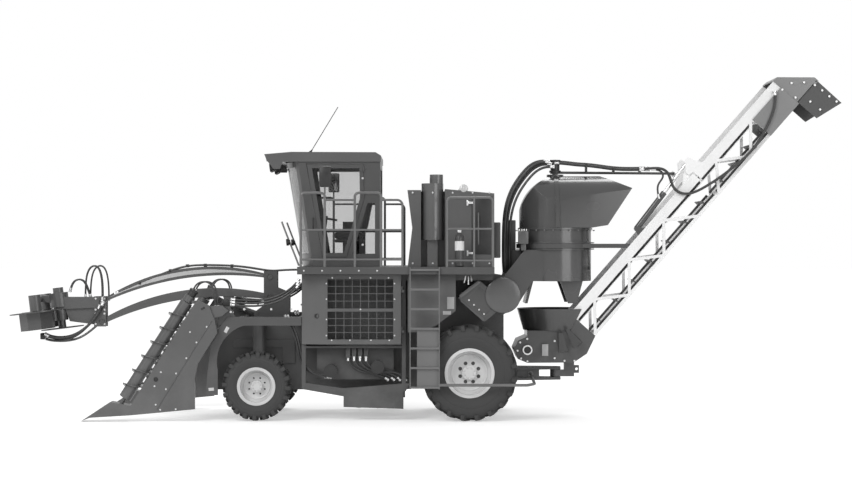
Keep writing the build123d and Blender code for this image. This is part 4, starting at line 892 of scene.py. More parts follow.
@dataclass
class LuggedTyre:
    """A tyre with full lugs in place of the faceted one, and the bolts of its wheel."""

    axle: str
    hub_x: float
    hub_y: float
    radius: float
    width: float
    bead: float
    lugs: int
    sweep: float
    hub_face: float
    bolt_circle: float
    disc_face: float
    disc_ring: float
    lug_height: float = 0.042
    lug_half: float = 0.03

    def build(self) -> None:
        """Makes the left and the right wheel's rubber and bolts."""
        for side in Side:
            self.rubber(side)
            self.fasteners(side)

    def rubber(self, side: Side) -> None:
        """Joins a casing and two rows of lugs into one tyre.

        Args:
            side: Which side of the machine.
        """
        centre = side.at(self.hub_x, self.hub_y, self.radius)
        rows = [self.lug_row(centre, hand) for hand in (-1, 1)]
        tyre = Bench.join([self.casing(centre), *rows])
        Bench.mount(tyre, f"{self.axle}_tyre_{side.tag}_rubber", f"{self.axle}_wheel_{side.tag}", TYRE)
        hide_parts(f"{self.axle}_tyre_{side.tag}")

    def casing(self, centre: Vector) -> Piece:
        """The carcass with its bead, bulged side walls and rounded shoulders.

        Args:
            centre: The wheel's middle.

        Returns:
            The carcass.
        """
        half = self.width / 2
        base = self.radius - self.lug_height
        wall = base - self.bead
        rows = ((0.72, 0.006), (0.80, 0.03), (0.82, 0.11), (0.90, 0.24), (0.97, 0.42), (0.985, 0.53))
        rows += ((0.965, 0.56), (0.98, 0.60), (0.955, 0.72), (0.91, 0.84), (0.83, 0.93), (0.70, 0.98), (0.35, 1.0))
        right = [(across * half, self.bead + share * wall) for across, share in rows]
        left = [(-distance, reach) for distance, reach in right]
        return Bench.turned(left + right[::-1], centre, (0, 1, 0), 72)

    def lean(self, across: float) -> float:
        """How far along the tread a lug has swept at a distance from the middle."""
        share = abs(across) / (self.width / 2)
        return self.sweep * (1.35 * share if share < 0.4 else 0.54 + 0.82 * (share - 0.4))

    def lug(self, hand: int) -> Piece:
        """One lug of one row, at the top of the wheel about the origin.

        Args:
            hand: Which half of the tread, -1 or 1.

        Returns:
            The lug.
        """
        half = self.width / 2
        foot = self.radius - self.lug_height - 0.02
        spots = [hand * share * half for share in (-0.05, 0.2, 0.4, 0.7, 0.96)]
        corners = [(self.lean(spot) + self.lug_half, spot, 0) for spot in spots]
        corners += [(self.lean(spot) - self.lug_half, spot, 0) for spot in reversed(spots)]
        piece = Bench.prism(corners, (0, 0, self.lug_height + 0.02), 0)
        for vertex in piece.data.vertices:
            along, across, up = vertex.co
            share = abs(across) / half
            middle = self.lean(across)
            spread = 0.78 if up > 0 else 1.1
            reach = foot + up - (0.05 * max(share - 0.75, 0) if up > 0 else 0.11 * max(share - 0.7, 0))
            angle = (middle + (along - middle) * spread) / self.radius
            vertex.co = (math.sin(angle) * reach, across, math.cos(angle) * reach)
        return Bench.soften(piece, 0.005)

    def lug_row(self, centre: Vector, hand: int) -> Piece:
        """One row of lugs round the tyre, half a pitch from the other row.

        Args:
            centre: The wheel's middle.
            hand: Which half of the tread, -1 or 1.

        Returns:
            The row.
        """
        pitch = 2 * math.pi / self.lugs
        start = 0.0 if hand < 0 else pitch / 2
        turns = [Matrix.Rotation(start + pitch * number, 4, "Y") for number in range(self.lugs)]
        return Bench.spread(self.lug(hand), [Matrix.Translation(centre) @ turn for turn in turns])

    def fasteners(self, side: Side) -> None:
        """The wheel bolts on the hub and the pressed ring of the disc.

        Args:
            side: Which side of the machine.
        """
        hub = side.at(self.hub_x, self.hub_y + self.hub_face, self.radius)
        spots = []
        for number in range(8):
            angle = math.pi * (number + 0.5) / 4
            spots.append(hub + Vector((math.cos(angle), 0, math.sin(angle))) * self.bolt_circle)
        bolts = Bench.bolts(spots, side.outward, 0.011)
        Bench.mount(bolts, f"{self.axle}_wheel_bolts_{side.tag}", f"{self.axle}_wheel_{side.tag}", RIM)
        disc = side.at(self.hub_x, self.hub_y + self.disc_face, self.radius)
        profile = [(-0.004, -0.02), (0.005, -0.008), (0.007, 0), (0.005, 0.008), (-0.004, 0.02)]
        ring = Bench.turned([(d, self.disc_ring + r) for d, r in profile], disc, side.outward, 64)
        Bench.mount(ring, f"{self.axle}_wheel_ring_{side.tag}", f"{self.axle}_wheel_{side.tag}", RIM)


@dataclass
class HoseSet:
    """Hoses of one kind, each with a crimped end piece, that one body carries, or that stay baked in place when across
    is given.
    """

    name: str
    body: str
    radius: float
    routes: tuple[tuple[Point, ...], ...]
    finish: Finish = HOSE
    across: tuple[str, Point, Point] | None = None

    def build(self) -> None:
        """Makes the hoses and their ends."""
        hoses = Bench.join([Bench.hose(route, self.radius) for route in self.routes])
        Bench.mount(hoses, self.name, self.body, self.finish, self.across)
        tips = [route[:2] for route in self.routes] + [route[:-3:-1] for route in self.routes]
        ends = Bench.join([self.ferrule(tip, inner) for tip, inner in tips])
        Bench.mount(ends, f"{self.name}_ends", self.body, ZINC, self.across)

    def ferrule(self, tip: Point, inner: Point) -> Piece:
        """A crimped sleeve with its nut at a hose's end.

        Args:
            tip: The hose's end.
            inner: The next point of its route.

        Returns:
            The sleeve.
        """
        r = self.radius
        profile = [(-0.012, 1.5 * r), (0.012, 1.5 * r), (0.014, 1.1 * r), (0.02, 1.3 * r)]
        profile += [(0.056, 1.3 * r), (0.06, 1.05 * r)]
        return Bench.solid(profile, tip, Vector(inner) - Vector(tip), 12)


@dataclass
class FlatTrim:
    """Small things that lie on a side of the machine: bolts, plates and round marks."""

    body: str
    side: Side

    def bolts(self, name: str, out: float, spots: Sequence[Flat], radius: float) -> None:
        """A group of bolts that face out from the side."""
        piece = Bench.bolts([self.side.at(x, out, z) for x, z in spots], self.side.outward, radius)
        Bench.mount(piece, f"{name}_{self.side.tag}", self.body, ZINC)

    def plate(self, name: str, out: float, outline: Sequence[Flat], thick: float, finish: Finish) -> None:
        """A thin plate with an outline in X and Z."""
        piece = Bench.prism([self.side.at(x, out, z) for x, z in outline], self.side.outward * thick, 0.002)
        Bench.mount(piece, f"{name}_{self.side.tag}", self.body, finish)

    def strip(
        self, name: str, out: float, start: Flat, end: Flat, width: float, thick: float, finish: Finish
    ) -> None:
        """A narrow plate from one point to another.

        Args:
            name: The piece's name without its side.
            out: How far out from the middle it lies.
            start: One end in X and Z.
            end: The other end.
            width: Its width.
            thick: Its thickness.
            finish: Its finish.
        """
        run = Vector((end[0] - start[0], end[1] - start[1])).normalized() * (width / 2)
        corners = [(start[0] - run.y, start[1] + run.x), (end[0] - run.y, end[1] + run.x)]
        corners += [(end[0] + run.y, end[1] - run.x), (start[0] + run.y, start[1] - run.x)]
        self.plate(name, out, corners, thick, finish)

    def ring(self, name: str, out: float, spot: Flat, radii: Flat, finish: Finish, depth: float) -> None:
        """A flat ring between an inner and an outer radius.

        Args:
            name: The piece's name without its side.
            out: How far out from the middle it lies.
            spot: Its middle in X and Z.
            radii: The inner and the outer radius.
            finish: Its finish.
            depth: Its thickness.
        """
        inner, outer = radii
        profile = [(0, inner), (0, outer), (depth - 0.003, outer), (depth, outer - 0.003), (depth, inner)]
        piece = Bench.turned(profile, self.side.at(spot[0], out, spot[1]), self.side.outward, 40)
        Bench.mount(piece, f"{name}_{self.side.tag}", self.body, finish)

    def dish(
        self, name: str, out: float, spot: Flat, radius: float, finish: Finish, depth: float = 0.006
    ) -> None:
        """A round cap with a raised rim.

        Args:
            name: The piece's name without its side.
            out: How far out from the middle it lies.
            spot: Its middle in X and Z.
            radius: Its radius.
            finish: Its finish.
            depth: How far its rim stands out.
        """
        r = radius
        profile = [(0, r), (depth, r), (depth, 0.86 * r), (0.4 * depth, 0.78 * r)]
        piece = Bench.solid(profile, self.side.at(spot[0], out, spot[1]), self.side.outward, 32)
        Bench.mount(piece, f"{name}_{self.side.tag}", self.body, finish)


def lanes(line: Sequence[Flat], shifts: Iterable[Point]) -> tuple[tuple[Point, ...], ...]:
    """Routes that run side by side.

    Args:
        line: The line that they share, in X and Z.
        shifts: For each route its step in X, its Y and its step in Z.

    Returns:
        The points of each route.
    """
    return tuple(tuple((x + dx, y, z + dz) for x, z in line) for dx, y, dz in shifts)


def oblong(middle: Flat, width: float, height: float) -> list[Flat]:
    """The corners of an upright oblong."""
    (x, z), half, rise = middle, width / 2, height / 2
    return [(x - half, z - rise), (x + half, z - rise), (x + half, z + rise), (x - half, z + rise)]


@dataclass
class CropDividers:
    """Fittings of the two crop dividers: bolts, seam, black marks of painted shade for a slot and a hole, scroll motor
    and its hoses.
    """

    face: float = 1.32
    bolt_r: float = 0.0095
    bolt_spots: tuple[Flat, ...] = (
        (-3.489, 1.328), (-3.242, 1.404), (-3.393, 1.174), (-3.543, 0.941), (-3.695, 0.715),
        (-3.845, 0.483), (-4.014, 0.528), (-3.996, 0.253), (-3.929, 0.178), (-3.700, 0.187),
        (-3.920, 0.734),
    )
    seam: tuple[Flat, Flat] = ((-3.164, 1.497), (-3.977, 0.184))
    slot: tuple[Flat, Flat] = ((-3.325, 1.662), (-3.270, 1.692))
    hole: Flat = (-3.993, 0.627)
    scroll_foot: Flat = (-4.527, 0.262)
    scroll_top: Flat = (-3.521, 1.816)
    scroll_out: float = 1.18
    hose_out: float = 1.17
    hose_line: tuple[Flat, ...] = (
        (-3.47, 1.90), (-3.44, 2.03), (-3.32, 2.085), (-3.20, 2.05), (-3.15, 1.95), (-3.14, 1.80), (-3.12, 1.66),
    )

    def build(self) -> None:
        """Dresses both dividers."""
        for side in Side:
            trim = FlatTrim(f"crop_divider_{side.tag}", side)
            trim.bolts("divider_bolts", self.face, self.bolt_spots, self.bolt_r)
            trim.strip("divider_seam", self.face, *self.seam, 0.016, 0.004, BODY_SHADE)
            # Painted shade: a black disc and a black strip stand in for the shade inside a hole and a slot.
            trim.dish("divider_hole_shade", self.face, self.hole, 0.034, BLACK)
            trim.strip("divider_slot_shade", self.face, *self.slot, 0.03, 0.004, BLACK)
            self.motor(side)

    def motor(self, side: Side) -> None:
        """The scroll's motor on top of its bearing, with a hose each way.

        Args:
            side: Which side of the machine.
        """
        (foot_x, foot_z), (top_x, top_z) = self.scroll_foot, self.scroll_top
        axis = Vector((top_x - foot_x, 0, top_z - foot_z)).normalized()
        top = side.at(top_x, self.scroll_out, top_z) + axis * 0.02
        profile = [(0, 0.078), (0.03, 0.078), (0.034, 0.062), (0.10, 0.062), (0.105, 0.07), (0.13, 0.07), (0.14, 0.055)]
        motor = Bench.solid(profile, top, axis, 28)
        Bench.mount(motor, f"scroll_motor_{side.tag}", f"crop_divider_{side.tag}", BLACK)
        shifts = [(step, side.value * (self.hose_out - step), 0) for step in (0.0, 0.035)]
        routes = lanes(self.hose_line, shifts)
        HoseSet(f"scroll_hoses_{side.tag}", f"crop_divider_{side.tag}", 0.013, routes).build()


@dataclass
class ToppingBoom:
    """Fittings of the topper and its arms: hoses, pin caps and cheek bolts."""

    mast_x: float = -2.408
    head_x: float = -4.995
    head_drop: float = 0.379
    arm_pivots: tuple[tuple[str, float], ...] = (("boom_upper", 2.126), ("boom_lower", 1.812))
    cheek_face: float = 0.105
    arm_line: tuple[Flat, ...] = (
        (-4.80, 1.87), (-4.414, 2.034), (-3.951, 2.225), (-3.688, 2.300), (-3.411, 2.310), (-3.0, 2.300),
        (-2.75, 2.272), (-2.593, 2.246), (-2.408, 2.215), (-2.25, 2.225), (-2.10, 2.235), (-1.93, 2.235),
    )
    arch: tuple[Flat, ...] = (
        (-5.50, 1.90), (-5.474, 2.04), (-5.381, 2.10), (-5.273, 2.07), (-5.23, 1.95), (-5.18, 1.80),
    )
    loop: tuple[Flat, ...] = (
        (-5.227, 1.80), (-5.225, 2.05), (-5.19, 2.24), (-5.088, 2.315), (-4.979, 2.261), (-4.945, 2.0), (-4.95, 1.76),
    )
    loop_ends: tuple[Flat, ...] = ((-0.08, -0.127), (-0.03, -0.16), (0.08, 0.127))
    under: tuple[Flat, ...] = (
        (-4.985, 1.72), (-5.02, 1.62), (-5.10, 1.48), (-5.25, 1.32), (-5.42, 1.21), (-5.60, 1.17), (-5.75, 1.18),
        (-5.87, 1.225),
    )
    under_shifts: tuple[Point, ...] = ((0.0, -0.13, 0.0), (0.02, -0.165, 0.02), (-0.035, -0.14, -0.035))
    skid: tuple[Point, ...] = (
        (-5.07, -0.09, 1.38), (-5.16, -0.09, 1.30), (-5.30, -0.10, 1.19), (-5.50, -0.10, 1.135), (-5.72, -0.11, 1.13),
        (-5.89, -0.12, 1.18),
    )

    def build(self) -> None:
        """Dresses the boom and the topper."""
        self.pins()
        self.arm_hoses()
        self.head_hoses()

    def pins(self) -> None:
        """Keeper plates over the four pins of the arms and bolts on the head's cheeks."""
        for body, pivot in self.arm_pivots:
            for side in Side:
                trim = FlatTrim(body, side)
                for name, x, z in (("mast", self.mast_x, pivot), ("head", self.head_x, pivot - self.head_drop)):
                    trim.dish(f"{body}_{name}_pin", self.cheek_face, (x, z), 0.045, BODY_SHADE, 0.012)
        for side in Side:
            cheek = [(self.head_x + dx, z) for z in (1.40, 1.56, 1.62, 1.79) for dx in (-0.095, 0.04)]
            FlatTrim("topper", side).bolts("cheek_bolts", self.cheek_face, cheek, 0.011)

    def arm_hoses(self) -> None:
        """Four hoses along the upper arm and on past the mast, baked in place, with their clips."""
        routes = lanes(self.arm_line, [(0, y, 0) for y in (-0.054, -0.018, 0.018, 0.054)])
        joint = ("chassis", (-2.75, 0, 2.15), (-2.15, 0, 2.15))
        HoseSet("boom_hoses", "boom_upper", 0.016, routes, across=joint).build()
        clips = [
            Bench.block((x - 0.02, -0.07, z - 0.03), (x + 0.02, 0.07, z + 0.018), 0.006) for x, z in self.arm_line[1:6]
        ]
        Bench.mount(Bench.join(clips), "boom_hose_clips", "boom_upper", BLACK)

    def head_hoses(self) -> None:
        """The loops over the topper and the bundle that runs forward under its disc."""
        routes = lanes(self.arch, [(0, y, 0) for y in (-0.03, 0.03)])
        for front, rear in self.loop_ends:
            step = (rear - front) / (len(self.loop) - 1)
            routes += (tuple((x + 0.2 * rear, front + step * n, z) for n, (x, z) in enumerate(self.loop)),)
        HoseSet("topper_hoses", "topper", 0.014, routes).build()
        HoseSet("topper_lower_hoses", "topper", 0.02, lanes(self.under, self.under_shifts)).build()
        Bench.mount(Bench.hose(self.skid, 0.018), "topper_skid", "topper", BODY_SHADE)
        port = Bench.block((-5.93, -0.19, 1.165), (-5.855, -0.08, 1.262), 0.012)
        Bench.mount(port, "topper_port", "topper", BLACK)


@dataclass
class BayDoors:
    """Bolts and latches of the two side doors."""

    face: float = 1.25
    bolt_r: float = 0.008
    latch: Flat = (-1.621, 1.562)
    fold_drop: float = 0.03

    def build(self) -> None:
        """Dresses both doors."""
        spots = [(x, 2.128) for x in (-1.389, -1.128, -0.821, -0.555)]
        spots += [(x, z) for x in (-1.476, -0.467) for z in (2.044, 1.812, 1.511, 1.273)]
        spots += [(x, 1.202) for x in (-1.398, -1.128, -0.816, -0.544)] + [(-0.972, 1.661)]
        for side in Side:
            trim = FlatTrim(f"bay_door_{side.tag}", side)
            trim.bolts("door_bolts", self.face, spots, self.bolt_r)
            trim.dish("door_latch", self.face - self.fold_drop, self.latch, 0.034, BLACK, 0.022)


@dataclass
class Cab:
    """Fittings of the cab: mirrors, aerial, lamps, door handle and the seat."""

    mirror_z: Flat = (3.469, 3.779)
    aerial_foot: Point = (-1.763, -0.5, 4.012)
    aerial_tip: Point = (-1.338, -0.5, 4.714)
    roof_lamp_y: tuple[float, ...] = (-0.58, -0.36, 0.36, 0.58)
    bar_out: float = 0.55
    bar_line: tuple[Flat, ...] = ((-1.93, 2.30), (-1.97, 2.42), (-2.10, 2.72), (-2.19, 2.97))
    door_face: float = -0.765
    grip_face: float = -0.80
    grip_x: float = -1.70
    back_foot: Point = (-1.0, 0, 2.835)
    back_head: Point = (-0.888, 0, 3.40)
    back_half: Flat = (0.235, 0.21)
    back_thick: float = 0.075

    def build(self) -> None:
        """Dresses the cab and the deck round it."""
        self.mirrors()
        self.aerial()
        self.lamps()
        self.door()
        self.seat()

    def mirrors(self) -> None:
        """A mirror on a stalk from each side's rail loop."""
        low, high = self.mirror_z
        for side in Side:
            stalk = Bench.hose([tuple(side.at(-1.493, 1.39, z)) for z in (3.37, 3.42, 3.46, 3.50)], 0.013)
            Bench.mount(stalk, f"mirror_stalk_{side.tag}", "chassis", RAIL)
            shell = Bench.block(side.at(-1.577, 1.355, low), side.at(-1.40, 1.415, high), 0.022)
            Bench.mount(shell, f"mirror_shell_{side.tag}", "chassis", BLACK)
            glass = Bench.block(side.at(-1.56, 1.349, low + 0.02), side.at(-1.417, 1.357, high - 0.02), 0.003)
            Bench.mount(glass, f"mirror_glass_{side.tag}", "chassis", CHROME)

    def aerial(self) -> None:
        """The whip aerial on the roof, leaning back."""
        foot, tip = Vector(self.aerial_foot), Vector(self.aerial_tip)
        mast = Bench.bar(foot, tip, 0.006, 8)
        base = Bench.solid([(0, 0.03), (0.012, 0.028), (0.04, 0.012), (0.06, 0.01)], foot, tip - foot, 20)
        Bench.mount(Bench.join([mast, base]), "aerial", "chassis", BLACK)

    def lamps(self) -> None:
        """Work lamps under the visor and a lamp bar in front of the windscreen."""
        case = [(0, 0.05), (0.05, 0.07), (0.07, 0.072), (0.07, 0.062), (0.06, 0.06)]
        glass = [(0.058, 0.06), (0.066, 0.055), (0.074, 0.03)]
        for number, y in enumerate(self.roof_lamp_y):
            spot, aim = Vector((-2.30, y, 3.80)), (-1, 0, -0.12)
            Bench.mount(Bench.solid(case, spot, aim, 28), f"roof_lamp_{number}", "chassis", BLACK)
            Bench.mount(Bench.solid(glass, spot, aim, 28, 0.076), f"roof_lens_{number}", "chassis", LAMP)
        case = [(0, 0.03), (0.03, 0.05), (0.06, 0.052), (0.06, 0.044)]
        glass = [(0.051, 0.044), (0.058, 0.036)]
        for side in Side:
            route = [tuple(side.at(x, self.bar_out, z)) for x, z in self.bar_line]
            Bench.mount(Bench.hose(route, 0.014), f"lamp_bar_{side.tag}", "chassis", RAIL)
            spot, aim = side.at(-2.06, self.bar_out, 2.66), (-1, 0, -0.1)
            Bench.mount(Bench.solid(case, spot, aim, 24, 0.052), f"front_lamp_{side.tag}", "chassis", BLACK)
            Bench.mount(Bench.solid(glass, spot, aim, 24, 0.062), f"front_lens_{side.tag}", "chassis", LAMP)

    def door(self) -> None:
        """The cab door's handle and hinge bolts."""
        corners = ((self.door_face, 3.02), (self.grip_face, 3.02), (self.grip_face, 2.86), (self.door_face, 2.86))
        grip = Bench.hose([(self.grip_x, y, z) for y, z in corners], 0.010)
        Bench.mount(grip, "cab_door_handle", "cab_side_door", BLACK)
        spots = [(-0.955, self.door_face, z) for z in (2.62, 3.62)]
        Bench.mount(Bench.bolts(spots, (0, -1, 0), 0.012), "cab_door_bolts", "cab_side_door", ZINC)

    def seat(self) -> None:
        """The driver's seat: a pedestal with a stuffed cushion and backrest."""
        column = Bench.block((-1.28, -0.14, 2.352), (-1.07, 0.14, 2.66), 0.02)
        pan = Bench.block((-1.40, -0.24, 2.655), (-0.96, 0.24, 2.705), 0.015)
        pedestal = Bench.mount(Bench.join([column, pan]), "seat_pedestal", "chassis", TRIM)
        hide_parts("seat")
        cushion = self.stuffed(Bench.block((-1.415, -0.245, 2.712), (-0.965, 0.245, 2.81), 0.03))
        Bench.mount(cushion, "seat_cushion", "chassis", CLOTH)
        low, high = Vector(self.back_foot), Vector(self.back_head)
        wide, narrow = (Vector((0, half, 0)) for half in self.back_half)
        corners = [low - wide, low + wide, high + narrow, high - narrow]
        back = self.stuffed(Bench.prism(corners, (self.back_thick, 0, 0), 0.025))
        Bench.mount(back, "seat_back", "chassis", CLOTH)

    @staticmethod
    def stuffed(piece: Piece, swell: float = 0.012, pressure: float = 4, steps: int = 20) -> Piece:
        """Blows a closed shell up as cloth and keeps the swelling within a limit.

        Args:
            piece: The closed shell.
            swell: How far a point may move.
            pressure: The cloth's inner pressure.
            steps: How many frames the cloth runs for.

        Returns:
            The stuffed piece.
        """
        Bench.modify(piece, "REMESH", mode="VOXEL", voxel_size=0.014)
        before = [vertex.co.copy() for vertex in piece.data.vertices]
        cloth = piece.modifiers.new("Cloth", "CLOTH")
        cloth.settings.use_pressure = True
        cloth.settings.uniform_pressure_force = pressure
        cloth.settings.effector_weights.gravity = 0
        scene = bpy.context.scene
        for moment in range(1, steps + 1):
            scene.frame_set(moment)
        shape = piece.evaluated_get(bpy.context.evaluated_depsgraph_get()).to_mesh()
        after = [vertex.co.copy() for vertex in shape.vertices]
        piece.modifiers.remove(cloth)
        scene.frame_set(1)
        for vertex, old, new in zip(piece.data.vertices, before, after):
            step = new - old
            vertex.co = old + step * min(1.0, swell / max(step.length, 1e-6))
        return Bench.modify(piece, "SUBSURF", levels=1, render_levels=1)


@dataclass
class EngineBay:
    """Fittings round the engine cowl and the tanks."""

    cowl_face: float = 0.9
    tank_face: float = 1.25
    latch_z: Flat = (3.248, 2.492)
    bolt_x: tuple[float, ...] = (-0.2, 0.1, 0.4, 0.7, 0.95)
    bolt_z: Flat = (3.40, 2.34)
    grip_x: float = 0.786
    grip_line: tuple[Flat, ...] = ((0.9, 3.095), (0.955, 3.09), (0.955, 2.63), (0.9, 2.621))
    lamp_x: float = 0.566
    taps: tuple[Point, ...] = ((0.60, -0.035, 2.05), (0.63, 0.0, 2.02), (0.66, 0.02, 2.07))
    bottle_foot: Point = (0.498, -1.15, 2.292)
    bottle_r: float = 0.068

    def build(self) -> None:
        """Dresses the cowl, the tanks and the deck's rear."""
        for side in Side:
            self.cowl(side)
            taps = [
                Bench.bar(side.at(x, 1.1, 2.21), side.at(x + lean, 1.12, foot), 0.014, 12)
                for x, lean, foot in self.taps
            ]
            Bench.mount(Bench.join(taps), f"tank_taps_{side.tag}", "chassis", ZINC)
        box = Bench.block((1.015, -0.6, 2.42), (1.13, 0.6, 2.96), 0.015)
        Bench.mount(box, "cowl_duct", "chassis", FRAME)
        self.extinguisher()

    def cowl(self, side: Side) -> None:
        """One side of the cowl with its latches, grip, screen and lamp, and the tank's plates.

        Args:
            side: Which side of the machine.
        """
        trim = FlatTrim("chassis", side)
        face = self.cowl_face
        latches = []
        for z in self.latch_z:
            latches.append(Bench.block(side.at(0.608, face, z - 0.042), side.at(0.634, 0.925, z + 0.042), 0.005))
            latches.append(Bench.block(side.at(0.63, face, z - 0.017), side.at(0.71, 0.935, z + 0.017), 0.006))
        Bench.mount(Bench.join(latches), f"cowl_latches_{side.tag}", "chassis", ZINC)
        grip = [tuple(side.at(self.grip_x, out, z)) for out, z in self.grip_line]
        Bench.mount(Bench.hose(grip, 0.011), f"cowl_grip_{side.tag}", "chassis", RAIL)
        trim.bolts("cowl_bolts", face, [(x, z) for z in self.bolt_z for x in self.bolt_x], 0.010)
        trim.plate("tank_plate", self.tank_face, oblong((0.366, 1.755), 0.105, 0.178), 0.003, PLATE)
        trim.plate("tank_label", self.tank_face, oblong((0.31, 1.608), 0.12, 0.055), 0.003, PLATE)
        screen = Bench.block(side.at(0.684, 0.893, 2.474), side.at(0.996, 0.907, 3.346), 0.004)
        Bench.mount(screen, f"cowl_screen_{side.tag}", "chassis", BLACK)
        profile = [(0, 0.05), (0.02, 0.065), (0.05, 0.066), (0.06, 0.05)]
        lamp = Bench.solid(profile, side.at(self.lamp_x, 0.84, 3.46), side.outward, 28, 0.066)
        Bench.mount(lamp, f"cowl_lamp_{side.tag}", "chassis", LAMP)
        stem = Bench.bar(side.at(self.lamp_x, 0.86, 3.38), side.at(self.lamp_x, 0.86, 3.44), 0.014, 10)
        Bench.mount(stem, f"cowl_lamp_stem_{side.tag}", "chassis", BLACK)

    def extinguisher(self) -> None:
        """The fire bottle on the deck with its valve, lever and blank band."""
        foot, r, up = Vector(self.bottle_foot), self.bottle_r, (0, 0, 1)
        bottle = [(0, 0.055), (0.012, r), (0.43, r), (0.47, 0.055), (0.49, 0.03), (0.51, 0.02)]
        Bench.mount(Bench.solid(bottle, foot, up, 36), "fire_bottle", "chassis", BODY_SHADE)
        band = [(0.24, r - 0.002), (0.24, r + 0.002), (0.38, r + 0.002), (0.38, r - 0.002)]
        Bench.mount(Bench.turned(band, foot, up, 36), "fire_bottle_band", "chassis", PALE)
        valve = Bench.block((0.47, -1.17, 2.80), (0.526, -1.13, 2.84), 0.008)
        lever = Bench.block((0.42, -1.16, 2.842), (0.53, -1.14, 2.856), 0.005)
        Bench.mount(Bench.join([valve, lever]), "fire_bottle_valve", "chassis", ZINC)


